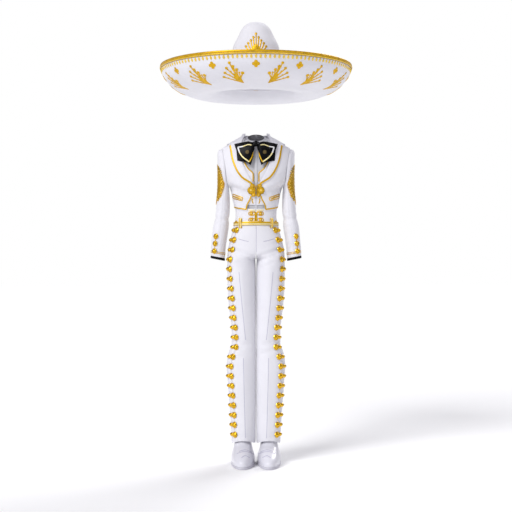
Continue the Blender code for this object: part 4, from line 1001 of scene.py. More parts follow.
def strip_mesh(points, normals, half_width, height, base=0.0002, closed=False):
    """A half-round strip along the points. half_width is one number or one for each point."""
    points, normals = np.array(points, float), np.array(normals, float)
    widths = np.broadcast_to(np.asarray(half_width, float), (len(points),))
    if closed:
        along = np.roll(points, -1, 0) - np.roll(points, 1, 0)
    else:
        along = np.gradient(points, axis=0)
    across = np.cross(along, normals)
    across /= np.maximum(np.linalg.norm(across, axis=1, keepdims=True), 1e-9)
    rings = []
    for side, up in ((-1, -0.3), (-1, 0.3), (-0.6, 0.85), (0, 1), (0.6, 0.85), (1, 0.3), (1, -0.3)):
        rings.append(points + across * (side * widths)[:, None] + normals * (base + up * height))
    grid = np.stack(rings, 1)
    count, ring = grid.shape[:2]
    index = np.arange(count * ring).reshape(count, ring)
    ahead = np.roll(index, -1, 0) if closed else index[1:]
    here = index if closed else index[:-1]
    faces = np.stack([here, ahead, np.roll(ahead, -1, 1), np.roll(here, -1, 1)], -1).reshape(-1, 4).tolist()
    if not closed:
        faces += [index[0].tolist(), index[-1, ::-1].tolist()]
    return grid.reshape(-1, 3), faces


def joined(parts):
    points, faces, start = [], [], 0
    for part_points, part_faces in parts:
        points.append(np.array(part_points, float))
        faces += [[i + start for i in face] for face in part_faces]
        start += len(part_points)
    return np.concatenate(points), faces


def line_on(place, line, half_width, height, side=1, step=0.003, closed=False):
    """A strip through the points of a line, each put on the cloth that it shows on."""
    points, normals = zip(*(place(side * x, z) for x, z in smooth_line(line, step, closed)))
    return strip_mesh(points, normals, half_width, height, closed=closed)


def raised(place, outline, height, side=1):
    """A closed outline raised to a soft crown, with its rim on the cloth."""
    outline = np.array(outline, float)
    centre = outline.mean(0)
    points = []
    for share, lift in ((1.0, -0.0004), (0.97, 0.45 * height), (0.65, height)):
        for x, z in centre + (outline - centre) * share:
            hit, normal = place(side * x, z)
            points.append(hit + normal * lift)
    hit, normal = place(side * centre[0], centre[1])
    points.append(hit + normal * height * 1.1)
    count = len(outline)
    faces = []
    for ring in (0, 1):
        for i in range(count):
            j = (i + 1) % count
            faces.append([ring * count + i, ring * count + j, (ring + 1) * count + j, (ring + 1) * count + i])
    faces += [[2 * count + i, 2 * count + (i + 1) % count, 3 * count] for i in range(count)]
    return points, faces


def leaf(x, z, angle, length, width, blunt=0.8):
    """A leaf's outline from its foot at x, z, pointing at the angle from straight up."""
    share = np.linspace(0, 1, 9)
    half = width / 2 * np.sin(math.pi * share) ** blunt
    along = np.concatenate([share, share[-2:0:-1]]) * length
    across = np.concatenate([half, -half[-2:0:-1]])
    c, s = math.cos(angle), math.sin(angle)
    return np.stack([x + along * s + across * c, z + along * c - across * s], -1)


def disc(x, z, radius, count=12, scallops=0, depth=0.0):
    turn = np.linspace(0, 2 * math.pi, count, endpoint=False)
    reach = radius * (1 + depth * np.cos(scallops * turn))
    return np.stack([x + reach * np.sin(turn), z + reach * np.cos(turn)], -1)


def trim(name, parts, material=None, nodes=()):
    points, faces = joined(parts)
    return new_piece(name, points, faces, material or gold_braid, nodes)


def each_side(name, build, nodes=None, material=None):
    for label, side in SIDES:
        trim(f"{name}_{label}", build(side), material, (f"{nodes}_{label}",) if nodes else ())


# Jacket trim: a gold stripe inside the edge of the collar and lapels, round the fronts and the
# hem, and round each slanted pocket welt, whose middle is a second gold bar.
LAPEL_BRAID, EDGE_BRAID, WAISTCOAT_BRAID = (0.0040, 0.0012), (0.0030, 0.0011), (0.0026, 0.0009)
LAPEL_INSET, FRONT_INSET, WAISTCOAT_INSET, HEM_INSET = 0.0062, 0.0032, 0.0022, 0.0062
WAISTCOAT_POINT_LINE = ((0.0150, -0.2360), (0.0165, -0.2470), (0.0125, -0.2570))
WELT_OUTLINE = ((0.1012, -0.2165), (0.0585, -0.2320), (0.0625, -0.2450), (0.1012, -0.2335))
WELT_EDGE = (
    (0.1010, -0.2190),
    (0.1010, -0.2165),
    (0.0800, -0.2241),
    (0.0590, -0.2318),
    (0.0605, -0.2385),
    (0.0625, -0.2446),
    (0.0820, -0.2395),
    (0.1010, -0.2335),
)
WELT_BAR = ((0.1000, -0.2258), (0.0820, -0.2318), (0.0655, -0.2378))


def line_from_form(place, u, v, half_width, height, side):
    """A strip along a line given in a panel's own coordinates."""
    point = place(u, v, np.zeros(len(u)), side)
    above = place(u, v, np.full(len(u), OUT_STEP), side)
    mirror = np.array([side, 1, 1])
    return strip_mesh(point * mirror, (above - point) / OUT_STEP * mirror, half_width, height)


def inside_edge(edge_x, inset):
    """Lines up the torso a little inside the lapel's or the front's edge, as x for each height."""

    def place(x, z, lift, side):
        return on_torso(angle_at(edge_x(z) - inset, torso_half_width(z)), z, lift, side)

    return place


def jacket_trim(side):
    parts = []
    z = np.linspace(-0.1765, -0.0110, 60)
    edge = inside_edge(LAPEL_EDGE["x"], LAPEL_INSET)

    def on_lapel(u, z, lift, hand):
        return edge(u, z, lift + LAPEL[0] + shoulder_ease(z), hand)

    parts.append(line_from_form(on_lapel, z, z, *LAPEL_BRAID, side))
    z = np.linspace(-0.2865, -0.228, 26)
    parts.append(line_from_form(inside_edge(FRONT_EDGE["jacket"], -FRONT_INSET), z, z, *EDGE_BRAID, side))
    u = np.linspace(0.02, 0.99, 60)

    def hem(u, rise, lift, hand):
        z = JACKET_CORNER_HEM_Z * (1 - u) + JACKET_SIDE_HEM_Z * u + rise
        start = angle_at(FRONT_EDGE["jacket"](z) + 0.001, torso_half_width(z))
        return on_torso(start + (limit("front", z) - start) * u, z, lift, hand)

    parts.append(line_from_form(hem, u, np.full(60, HEM_INSET), *EDGE_BRAID, side))
    return parts


def on_back_hem(u, z, lift, hand):
    return on_torso(math.pi - u * limit("back", z), z, lift, hand)


def on_collar(u, level, lift, hand):
    return collar_back(u, level, lift + LAPEL[0], hand)


each_side("jacket_trim", jacket_trim)
u = np.linspace(-0.995, 0.995, 120)
back_hem = line_from_form(on_back_hem, u, np.full(120, JACKET_SIDE_HEM_Z + HEM_INSET), *EDGE_BRAID, 1)
collar_edge = line_from_form(on_collar, u * 0.985, np.full(120, -0.93), *LAPEL_BRAID, 1)
trim("jacket_back_trim", [back_hem, collar_edge])


def on_waistcoat_edge(u, z, lift, hand):
    angle = angle_at(FRONT_EDGE["waistcoat"](z) + WAISTCOAT_INSET, torso_half_width(z))
    return under_jacket(angle, z, lift + WAISTCOAT[0])


def waistcoat_trim(side):
    z = np.linspace(-0.168, -0.060, 50)
    up = line_from_form(on_waistcoat_edge, z, z, *WAISTCOAT_BRAID, side)
    return [up, line_on(seen(both("waistcoat_front")), WAISTCOAT_POINT_LINE, 0.0024, 0.0010, side)]


each_side("waistcoat_trim", waistcoat_trim)


def pocket_welt(side):
    """The welt itself in the suit's cloth; gives back its gold edge and bar."""
    welt = raised(seen(both("jacket_front")), WELT_OUTLINE, 0.0022, side)
    label = label_of(side)
    trim(f"pocket_welt_{label}", [welt], suit_wool, (f"pocket_welt_{label}",))
    on_welt = seen([f"pocket_welt_{label}", f"jacket_front_{label}"])
    edge = line_on(on_welt, WELT_EDGE, 0.0022, 0.0014, side, closed=True)
    return [edge, line_on(on_welt, WELT_BAR, 0.0034, 0.0024, side)]


each_side("pocket_welt_trim", pocket_welt)

# Sleeve trim: a gold cord round the cuff and up to three rosettes, and a tall almond of gold
# embroidery on the outer side of each upper arm, its inner edge cut into small teeth.
ALMOND_COLUMNS = ("z", "x")
ALMOND_ROWS = (
    (-0.2600, 0.1668),
    (-0.2345, 0.1527),
    (-0.2120, 0.1443),
    (-0.1786, 0.1360),
    (-0.1450, 0.1399),
    (-0.1110, 0.1470),
    (-0.0871, 0.1624),
)
ALMOND = read_table(ALMOND_COLUMNS, ALMOND_ROWS)
ALMOND_FIRST_ROW, ALMOND_LAST_ROW, ALMOND_ROW_STEPS, ALMOND_TURN_STEPS = 3.80, 8.42, 150, 33
TEETH, TOOTH, STITCH_RISE, STITCH_WAVE = 19, 0.20, 0.0022, 0.0005
VEINS, VEIN_TOP_Z, VEIN_FOOT_Z, KNOTS, KNOTS_TOP_Z, KNOTS_FOOT_Z = 18, -0.104, -0.246, 22, -0.112, -0.242
CORD_TURN = 2.05


def sleeve_names(side):
    return [f"sleeve_upper_{label_of(side)}", f"sleeve_under_{label_of(side)}"]


def almond_edge(row):
    """The turn round the arm where the embroidery starts in front, for each row of the sleeve."""
    outer_x, inner_x = SLEEVE["outer_x"](row), SLEEVE["inner_x"](row)
    outer_z, inner_z = SLEEVE["outer_z"](row), SLEEVE["inner_z"](row)
    turn = np.full(row.shape, 2.4)
    for _ in range(16):
        z = (outer_z + inner_z) / 2 + (inner_z - outer_z) / 2 * np.cos(turn)
        x = ALMOND["x"](np.clip(z, ALMOND_ROWS[0][0], ALMOND_ROWS[-1][0])) - 0.0020
        share = (x - (outer_x + inner_x) / 2) / ((inner_x - outer_x) / 2)
        turn = (turn + np.arccos(np.clip(share, -1, 1))) / 2
    return turn


def sleeve_almond(side):
    """One sheet of stitching round the outer arm, from the teeth in front to the teeth behind."""
    rows = np.linspace(ALMOND_FIRST_ROW, ALMOND_LAST_ROW, ALMOND_ROW_STEPS)
    across = np.linspace(-1, 1, ALMOND_TURN_STEPS)
    bite = TOOTH * ((np.arange(ALMOND_ROW_STEPS) / (ALMOND_ROW_STEPS - 1) * TEETH) % 1)
    ends = np.minimum((rows - ALMOND_FIRST_ROW) / 0.5, (ALMOND_LAST_ROW - rows) / 1.1)
    ends = np.clip(ends, 0, 1) ** 0.6
    half = np.maximum((math.pi - almond_edge(rows)) * ends - bite, 0.004)
    turn = math.pi + half[:, None] * across
    row = np.repeat(rows[:, None], ALMOND_TURN_STEPS, axis=1)
    lift = STITCH_RISE + STITCH_WAVE * np.sin(row * 16 + across * 9)
    lift[:, 0] = lift[:, -1] = 0.0002
    points = on_sleeve(turn, row, lift, side) * np.array([side, 1, 1])
    index = np.arange(row.size).reshape(row.shape)
    quads = np.stack([index[:-1, :-1], index[:-1, 1:], index[1:, 1:], index[1:, :-1]], -1).reshape(-1, 4)
    a, b, c = (points.reshape(-1, 3)[quads[len(quads) // 2][i]] for i in range(3))
    inward = np.cross(b - a, c - a)[0] * side < 0
    return [(points.reshape(-1, 3), (quads[:, ::-1] if inward else quads).tolist())]


def sleeve_veins(side):
    """Curved stitched lines over the almond, from its outer side down to its teeth."""
    parts = []
    for behind in (False, True):
        cloth_at = seen(sleeve_names(side), behind)
        for z in np.linspace(VEIN_TOP_Z, VEIN_FOOT_Z, VEINS):
            inner = float(ALMOND["x"](z))
            outer = float(SLEEVE["outer_x"](np.interp(z, [-0.26, -0.0871], [8.35, 3.85])))
            vein = [(outer - 0.003, z + 0.012), ((inner + outer) / 2 + 0.002, z + 0.003), (inner + 0.006, z)]
            parts.append(line_on(cloth_at, vein, 0.0010, 0.0040, side))
    return parts


def sleeve_knots(side):
    """Raised knots inside the teeth, by turns nearer and farther from them."""
    parts = []
    for behind in (False, True):
        cloth_at = seen(sleeve_names(side), behind)
        for number, z in enumerate(np.linspace(KNOTS_TOP_Z, KNOTS_FOOT_Z, KNOTS)):
            inner = float(ALMOND["x"](z)) + (0.0085 if number % 2 else 0.0125)
            parts.append(raised(cloth_at, disc(inner, z, 0.0026, 8), 0.0054, side))
    return parts


each_side("sleeve_embroidery", sleeve_almond)
# A lighter copy of the gold thread, used as painted highlight on the raised knots and on the domed middles of
# the clasp and frogs; the stitched lines take the darker gold of painted shade.
painted_highlight_gold = thread_gold("painted_highlight_gold", (1.0, 0.72, 0.16), 0.34, metallic=0.5)
each_side("sleeve_stitching", sleeve_veins, material=painted_shade_gold)
each_side("sleeve_knots", sleeve_knots, material=painted_highlight_gold)


def cuff_trim(side):
    turn = np.linspace(0, 2 * math.pi, 90)
    parts = []
    for row in (CUFF_BAND_ROW - 0.42, CUFF_BAND_ROW - 0.30):
        parts.append(line_from_form(on_sleeve, turn, np.full(90, row), 0.0014, 0.0010, side))
    rows = np.linspace(11.7, CUFF_BAND_ROW - 0.36, 40)
    parts.append(line_from_form(on_sleeve, np.full(40, CORD_TURN), rows, 0.0018, 0.0014, side))
    return parts


each_side("cuff_trim", cuff_trim)

# Conchas and rosettes. Cast gilt studs, each a scalloped boss with a domed middle; those down the
# trousers have a leaf-shaped tail on the outer side and sit on a pair of thin white cords.


# share of radius, rise
STUD_ROWS = (
    (0.0, 0.56),
    (0.22, 0.53),
    (0.42, 0.40),
    (0.52, 0.22),
    (0.60, 0.20),
    (0.74, 0.30),
    (0.90, 0.20),
    (1.0, 0.0),
)
STUD_STEPS, STUD_LOBES, LOBE_DEPTH = 24, 8, 0.09


def flat_plane(x, z):
    """Lays an ornament out flat, before it is repeated along a line."""
    return Vector((x, z, 0)), Vector((0, 0, 1))


def stud_mesh(name, radius, tail):
    """A boss seen from above, its tail towards +X, lying on the plane at zero height."""
    count = STUD_STEPS
    points = [np.array([0, 0, STUD_ROWS[0][1] * radius])]
    for share, up in STUD_ROWS[1:]:
        for i in range(count):
            turn = 2 * math.pi * i / count
            reach = share * radius * (1 + LOBE_DEPTH * share**3 * math.cos(STUD_LOBES * turn))
            points.append(np.array([reach * math.cos(turn), reach * math.sin(turn), up * radius]))
    faces = [[0, 1 + i, 1 + (i + 1) % count] for i in range(count)]
    for ring in range(len(STUD_ROWS) - 2):
        a, b = 1 + ring * count, 1 + (ring + 1) * count
        faces += [[a + i, b + i, b + (i + 1) % count, a + (i + 1) % count] for i in range(count)]
    parts = [(points, faces)]
    if tail:
        blade = leaf(0.5 * radius, 0, quarter, tail - 0.5 * radius, 1.2 * radius, 0.7)
        rib = leaf(0.8 * radius, 0, quarter, tail - 1.0 * radius, 0.5 * radius)
        parts += [raised(flat_plane, blade, 0.24 * radius), raised(flat_plane, rib, 0.34 * radius)]
    points, faces = joined(parts)
    mesh = bpy.data.meshes.new(name)
    mesh.from_pydata([tuple(p) for p in points], [], faces)
    mesh.shade_smooth()
    return bpy.data.objects.new(name, mesh)


REPEAT_SOCKETS = (
    ("Geometry", "NodeSocketGeometry"),
    ("Shape", "NodeSocketObject"),
    ("Material", "NodeSocketMaterial"),
    ("Unevenness", "NodeSocketFloat"),
    ("Seed", "NodeSocketInt"),
)


def repeat_group():
    """Sets a shape at each point, turned by the point's own turn, a little uneven in size."""
    group = bpy.data.node_groups.new("set_shape_at_points", "GeometryNodeTree")
    for name, kind in REPEAT_SOCKETS:
        group.interface.new_socket(name, in_out="INPUT", socket_type=kind)
    group.interface.new_socket("Geometry", in_out="OUTPUT", socket_type="NodeSocketGeometry")
    nodes, links = group.nodes, group.links
    given, result = nodes.new("NodeGroupInput"), nodes.new("NodeGroupOutput")
    shape = nodes.new("GeometryNodeObjectInfo")
    links.new(given.outputs["Shape"], shape.inputs["Object"])
    turn = nodes.new("GeometryNodeInputNamedAttribute")
    turn.data_type = "FLOAT_VECTOR"
    turn.inputs["Name"].default_value = "turn"
    as_rotation = nodes.new("FunctionNodeEulerToRotation")
    links.new(turn.outputs["Attribute"], as_rotation.inputs["Euler"])
    least, most = nodes.new("ShaderNodeMath"), nodes.new("ShaderNodeMath")
    size = nodes.new("FunctionNodeRandomValue")
    least.operation, most.operation = "SUBTRACT", "ADD"
    least.inputs[0].default_value = most.inputs[0].default_value = 1
    links.new(given.outputs["Unevenness"], least.inputs[1])
    links.new(given.outputs["Unevenness"], most.inputs[1])
    size.data_type = "FLOAT"
    limits = [socket for socket in size.inputs if socket.name in ("Min", "Max")]
    low, high = [socket for socket in limits if socket.type == "VALUE"][:2]
    links.new(least.outputs["Value"], low)
    links.new(most.outputs["Value"], high)
    links.new(given.outputs["Seed"], size.inputs["Seed"])
    value = [socket for socket in size.outputs if socket.type == "VALUE"][0]
    spread = nodes.new("GeometryNodeInstanceOnPoints")
    links.new(given.outputs["Geometry"], spread.inputs["Points"])
    links.new(shape.outputs["Geometry"], spread.inputs["Instance"])
    links.new(as_rotation.outputs["Rotation"], spread.inputs["Rotation"])
    links.new(value, spread.inputs["Scale"])
    realise, paint = nodes.new("GeometryNodeRealizeInstances"), nodes.new("GeometryNodeSetMaterial")
    links.new(spread.outputs["Instances"], realise.inputs["Geometry"])
    links.new(realise.outputs["Geometry"], paint.inputs["Geometry"])
    links.new(given.outputs["Material"], paint.inputs["Material"])
    links.new(paint.outputs["Geometry"], result.inputs["Geometry"])
    return group


set_shapes = repeat_group()


def repeats(name, places, shape, material, unevenness=0.03, seed=3, nodes=()):
    """The shape at each place, given as its point, the way its +X goes, and the way out."""
    mesh = bpy.data.meshes.new(name)
    mesh.from_pydata([tuple(point) for point, _, _ in places], [], [])
    turns = mesh.attributes.new("turn", "FLOAT_VECTOR", "POINT")
    for i, (_, across, out) in enumerate(places):
        out = Vector(out).normalized()
        across = (Vector(across) - out * out.dot(Vector(across))).normalized()
        basis = [across, out.cross(across), out]
        rows = [[basis[column][row] for column in range(3)] for row in range(3)]
        turns.data[i].vector = Matrix(rows).to_euler()
    piece = bpy.data.objects.new(name, mesh)
    bpy.context.scene.collection.objects.link(piece)
    bpy.context.scene.collection.objects.link(shape)
    modifier = piece.modifiers.new("repeats", "NODES")
    modifier.node_group = set_shapes
    settings = {"Shape": shape, "Material": material, "Unevenness": unevenness, "Seed": seed}
    for socket in set_shapes.interface.items_tree:
        if socket.in_out == "INPUT" and socket.name in settings:
            modifier[socket.identifier] = settings[socket.name]
    bpy.context.view_layer.update()
    evaluated = piece.evaluated_get(bpy.context.evaluated_depsgraph_get())
    plain = bpy.data.meshes.new_from_object(evaluated)
    piece.modifiers.clear()
    piece.data = plain
    bpy.context.scene.collection.objects.unlink(shape)
    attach(piece, "root")
    if nodes:
        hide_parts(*nodes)
    return piece


def form_place(form, u, v, lift, side):
    """A place on a form: its point, the way u grows, and the way out, on either side."""
    u, v = np.array([u]), np.array([v])
    mirror = np.array([side, 1, 1])
    point = form(u, v, np.array([lift]), side)[0]
    above = form(u, v, np.array([lift + OUT_STEP]), side)[0]
    ahead = form(u + OUT_STEP, v, np.array([lift]), side)[0]
    return point * mirror, (ahead - point) * mirror, (above - point) * mirror


def beside_outseam(shift, z, lift, hand):
    """A place on the leg, a little to the side of the outer seam."""
    return on_leg(outseam_angle(z) + shift / LEG_RADIUS, z, lift + TROUSER[0], hand)


CONCHA_RADIUS, CONCHA_TAIL, ROSETTE_RADIUS, STUD_SEAT = 0.0138, 0.0315, 0.0122, 0.0014
CONCHA_HEIGHTS, ROSETTE_ROWS = np.linspace(-0.3753, -1.2676, 22), np.linspace(12.0, 13.33, 3)
CORD_TOP_Z, CORD_FOOT_Z, CORD_STEPS, CORD_SHIFT = -0.362, -1.283, 260, 0.0022
concha_shape = stud_mesh("concha_shape", CONCHA_RADIUS, CONCHA_TAIL)
rosette_shape = stud_mesh("rosette_shape", ROSETTE_RADIUS, 0)
z = np.linspace(CORD_TOP_Z, CORD_FOOT_Z, CORD_STEPS)
for label, side in SIDES:
    seat = TROUSER[0] + STUD_SEAT
    spots = [form_place(on_leg, float(outseam_angle(at)), at, seat, side) for at in CONCHA_HEIGHTS]
    repeats(f"leg_conchas_{label}", spots, concha_shape, gold_metal, nodes=(f"leg_conchas_{label}",))
    cords = []
    for shift in (-CORD_SHIFT, CORD_SHIFT):
        cords.append(line_from_form(beside_outseam, np.full(CORD_STEPS, shift), z, 0.0013, 0.0010, side))
    trim(f"concha_cord_{label}", cords, suit_wool)
    spots = [form_place(on_sleeve, CORD_TURN, row, STUD_SEAT, side) for row in ROSETTE_ROWS]
    repeats(f"cuff_rosettes_{label}", spots, rosette_shape, gold_metal, nodes=(f"cuff_rosettes_{label}",))

# Clasp and waist frogs. The clasp is two halves of a double rosette that meet over the front
# edges; the frogs are two pairs of looped knots with a narrow cord between, down to the belt.
# x, z, radius, height, petals
CLASP_PETAL_ROWS = (
    (0.0222, -0.1992, 0.0162, 0.0034, 8),
    (0.0172, -0.1800, 0.0098, 0.0032, 6),
    (0.0112, -0.2195, 0.0092, 0.0032, 6),
)
# Darker discs under each rosette, showing between and round the petals as painted shade.
# x, z, radius, corners, scallops
CLASP_SHADE_BACKING_ROWS = (
    (0.0205, -0.2005, 0.0178, 18, 8),
    (0.0172, -0.1800, 0.0098, 14, 6),
    (0.0112, -0.2195, 0.0094, 14, 6),
)
# x, z, radius
CLASP_MIDDLE_ROWS = ((0.0222, -0.1992, 0.0064), (0.0172, -0.1800, 0.0036), (0.0112, -0.2195, 0.0034))
CLASP_STEM = ((0.0016, -0.1795), (0.0050, -0.1900), (0.0040, -0.2000), (0.0052, -0.2120), (0.0022, -0.2240))
CLASP_HOOK = ((0.0150, -0.2180), (0.0110, -0.2230), (0.0045, -0.2270))
FROG_HEIGHTS, FROG_X = (-0.3014, -0.3296), 0.0200
# x, rise
FROG_LOOP = (
    (0.0030, 0.0),
    (0.0110, 0.0066),
    (0.0200, 0.0086),
    (0.0290, 0.0066),
    (0.0325, 0.0),
    (0.0290, -0.0066),
    (0.0200, -0.0086),
    (0.0110, -0.0066),
)
FROG_CORD = ((0.0100, -0.2935), (0.0040, -0.2960), (0.0033, -0.3100), (0.0033, -0.3250), (0.0037, -0.3378))
fronts = seen(both("jacket_front") + both("lapel") + both("waistcoat_front") + ["shirt_placket"])


def smoothed(place, depth_y):
    """Keeps an ornament that bridges an opening from falling into it."""

    def held(x, z):
        hit, normal = place(x, z)
        angle = angle_at(np.array([abs(x)]), torso_half_width(np.array([z])))
        front = float(laid(torso_form, angle, np.array([z]), 0.0, creased=False)[0, 1])
        hit = hit.copy()
        hit.y = min(hit.y, front - depth_y)
        return hit, Vector((normal.x * 0.3, normal.y, normal.z * 0.3)).normalized()

    return held


on_front = smoothed(fronts, 0.0009)


def petals(place, x, z, radius, side, height, count=8, stretch=1.0):
    """A rosette of small petals round a domed middle."""
    parts = []
    for i in range(count):
        turn = 2 * math.pi * i / count
        outline = leaf(0, 0, turn, radius, radius * 5.0 / count, 0.6)
        outline = np.stack([x + outline[:, 0] * stretch, z + outline[:, 1]], -1)
        parts.append(raised(place, outline, height * 0.7, side))
    parts.append(raised(place, disc(x, z, radius * 0.45, 14), height * 1.5, side))
    return parts


def clasp(side):
    parts = []
    for x, z, radius, height, count in CLASP_PETAL_ROWS:
        parts += petals(on_front, x, z, radius, side, height, count)
    parts.append(line_on(on_front, CLASP_STEM, 0.0022, 0.0030, side))
    parts.append(line_on(on_front, CLASP_HOOK, 0.0018, 0.0022, side))
    return parts


def clasp_shade_backing(side):
    shade_backings = []
    for x, z, radius, corners, scallops in CLASP_SHADE_BACKING_ROWS:
        shade_backings.append(raised(on_front, disc(x, z, radius, corners, scallops, 0.05), 0.0012, side))
    return shade_backings


# The domed middles are in the lighter gold of painted highlight.
def clasp_middles(side):
    return [raised(on_front, disc(x, z, radius, 12), 0.0064, side) for x, z, radius in CLASP_MIDDLE_ROWS]


each_side("front_clasp_plate", clasp_shade_backing, material=painted_shade_gold)
each_side("front_clasp", clasp, "front_clasp")
each_side("front_clasp_middle", clasp_middles, material=painted_highlight_gold)
band = seen(both("waistband_front"))


def frogs(side):
    parts = []
    for z in FROG_HEIGHTS:
        parts += petals(band, FROG_X, z, 0.0082, side, 0.0030, 6)
        loop = [(x, z + rise) for x, rise in FROG_LOOP]
        parts.append(line_on(band, loop, 0.0019, 0.0024, side, closed=True))
    parts.append(line_on(band, FROG_CORD, 0.0028, 0.0022, side))
    return parts


# The frogs' domed middles are in the lighter gold of painted highlight.
def frog_middles(side):
    return [raised(band, disc(FROG_X, z, 0.0040, 12), 0.0054, side) for z in FROG_HEIGHTS]


each_side("waist_frog", frogs, "waist_frog")
each_side("waist_frog_middle", frog_middles, material=painted_highlight_gold)

# Belt and seams. Two gold lines round the belt, its cord's curled ends, a braid at the top of the
# band in the pale braid of painted highlight, and the seams and pressed creases that show on the trousers and
# the boots, as darker lines that are painted shade along the creases.
BAND_TOP_BRAID = ((-0.0330, -0.2862), (0, -0.2868), (0.0330, -0.2862))
# z, half width
BELT_LINE_ROWS = ((-0.3432, 0.0032), (-0.3538, 0.0007))
BELT_STEPS, BELT_LINE_RISE = 159, 0.0012
BELT_CURL = ((0.0790, -0.3432), (0.0870, -0.3425), (0.0900, -0.3375), (0.0865, -0.3345), (0.0838, -0.3375))
POCKET_MOUTH = ((0.0780, -0.4130), (0.0560, -0.4195), (0.0330, -0.4245))
THIGH_CREASE = ((0.0748, -0.5588), (0.0640, -0.6800), (0.0458, -0.8580))
SHIN_CREASE = ((0.0554, -0.9372), (0.0520, -1.1000), (0.0466, -1.2892))
FLY_EDGE = ((0.0012, -0.358), (0.0012, -0.42), (0.0012, -0.488))
TOE_ARCS = (
    ((0.0748, -1.3486), (0.0475, -1.3416), (0.0202, -1.3508)),
    ((0.0840, -1.3578), (0.0475, -1.3486), (0.0092, -1.3596)),
    ((0.0638, -1.3759), (0.0475, -1.3671), (0.0290, -1.3759)),
)
trim("waistband_top_braid", [line_on(band, BAND_TOP_BRAID, 0.0022, 0.0010)], painted_highlight_braid)
turn = np.linspace(0, 2 * math.pi, BELT_STEPS + 1)[:-1]
belt_line = []
for z, half_width in BELT_LINE_ROWS:
    heights, lift = np.full(BELT_STEPS, z), np.full(BELT_STEPS, ON_WAISTBAND[0])
    point, above = on_torso(turn, heights, lift, 1), on_torso(turn, heights, lift + OUT_STEP, 1)
    belt_line.append(strip_mesh(point, (above - point) / OUT_STEP, half_width, BELT_LINE_RISE, closed=True))
trim("belt_line", belt_line)


def belt_curl(side):
    """The gold cord's end, curled up beside its loop, and a cord down each edge of the loop."""
    beside = seen(["belt"] + both("waistband_front"))
    parts = [line_on(beside, BELT_CURL, 0.0024, 0.0026, side)]
    loop = seen([f"belt_loop_{label_of(side)}"])
    for x in (0.0638, 0.0732):
        parts.append(line_on(loop, [(x, -0.3235), (x, -0.3440), (x, -0.3655)], 0.0022, 0.0018, side))
    return parts


each_side("belt_end", belt_curl)
legs = seen(both("trouser_front") + both("trouser_back") + both("waistband_front"))


def trouser_seam_and_crease_lines(side):
    """The slanted pocket mouths, the pressed creases and the fly's edge, as thin strips of a darker wool: seam
    lines at the pockets and fly, painted shade along the creases.
    """
    parts = [line_on(legs, POCKET_MOUTH, 0.0012, 0.0008, side)]
    parts += [line_on(legs, crease, 0.0011, 0.0007, side) for crease in (THIGH_CREASE, SHIN_CREASE)]
    if side == 1:
        parts.append(line_on(legs, FLY_EDGE, 0.0009, 0.0007, side))
    return parts


def boot_seams(side):
    """The toe cap's double row and the small arc in front of it."""
    upper = seen([f"boot_upper_{label_of(side)}"])
    return [line_on(upper, arc, 0.0017, 0.0012, side) for arc in TOE_ARCS]


# Darker wool for the seam lines, and as painted shade along the pressed creases.
seam_and_crease_shade_wool = woven("seam_and_crease_shade_wool", (0.50, 0.49, 0.60), 0.0011, 0.3, 0.75, 0.2)
each_side("trouser_pocket_seam", trouser_seam_and_crease_lines, material=seam_and_crease_shade_wool)
each_side("boot_seam", boot_seams, material=seam_and_crease_shade_wool)

# Bow tie trim: a braid set inside each wing's edge, white at the outer corner, pale above and
# gold below, round a small dim rosette; the white and the pale are painted highlight on the gold braid.
# White thread as painted highlight at the wings' outer corners.
painted_highlight_white = thread_gold("painted_highlight_white", (0.93, 0.93, 0.93), 0.55, metallic=0.0)
dim_gold = thread_gold("dim_gold", (0.12, 0.08, 0.02), 0.6, metallic=0.3)
WHITE_LINE = ((0.0581, -0.0062), (0.0700, -0.0086), (0.0788, -0.0097), (0.0765, -0.0200), (0.0722, -0.0336))
TOP_LINE = ((0.0581, -0.0062), (0.0343, 0.0018), (0.0200, -0.0004))
LOW_LINE = ((0.0722, -0.0336), (0.0581, -0.0528), (0.0295, -0.0744))
GOLD_LINE = ((0.0295, -0.0744), (0.0180, -0.0528), (0.0112, -0.0310))
for label, side in SIDES:
    wings = seen([f"bow_wing_{label}"])
    trim(f"bow_corner_braid_{label}", [line_on(wings, WHITE_LINE, 0.0029, 0.0010, side)], painted_highlight_white)
    edges = [line_on(wings, line, 0.0027, 0.0010, side) for line in (TOP_LINE, LOW_LINE)]
    trim(f"bow_edge_braid_{label}", edges, painted_highlight_braid)
    trim(f"bow_inner_braid_{label}", [line_on(wings, GOLD_LINE, 0.0026, 0.0010, side)])
    trim(f"bow_rosette_{label}", petals(wings, 0.0386, -0.0306, 0.0095, side, 0.0009, 8), dim_gold)

# Sombrero trim: a gold band and a thin line under the brim's lip, small picots below them, and
# traditional motifs in gold thread: quatrefoils between fan sprays, and a spray up the crown.


def brim_at(angle, along, under):
    """A place on the brim's under or upper side, from metres sideways and outward of a centre."""

    def place(x, z):
        reach = np.array([along + z])
        turn = np.array([angle]) + x / turned_line(BRIM_LINE)[0](reach)
        base, step = (-FELT, -OUT_STEP) if under else (0.0, OUT_STEP)
        point = Vector(on_brim(turn, reach, np.array([base]))[0])
        return point, (Vector(on_brim(turn, reach, np.array([base + step]))[0]) - point).normalized()

    return place


def brim_ring(from_edge, half_width, under):
    """A strip round the brim at this distance from its lip, on its under or upper side."""
    turn = np.linspace(0, 2 * math.pi, BRIM_STEPS + 1)[:-1]
    reach = np.full(BRIM_STEPS, brim_reach - from_edge)
    base, step = (-FELT, -OUT_STEP) if under else (0.0, OUT_STEP)
    point = on_brim(turn, reach, np.full(BRIM_STEPS, base))
    above = on_brim(turn, reach, np.full(BRIM_STEPS, base + step))
    return strip_mesh(point, (above - point) / OUT_STEP, half_width, BRIM_LINE_RISE, closed=True)


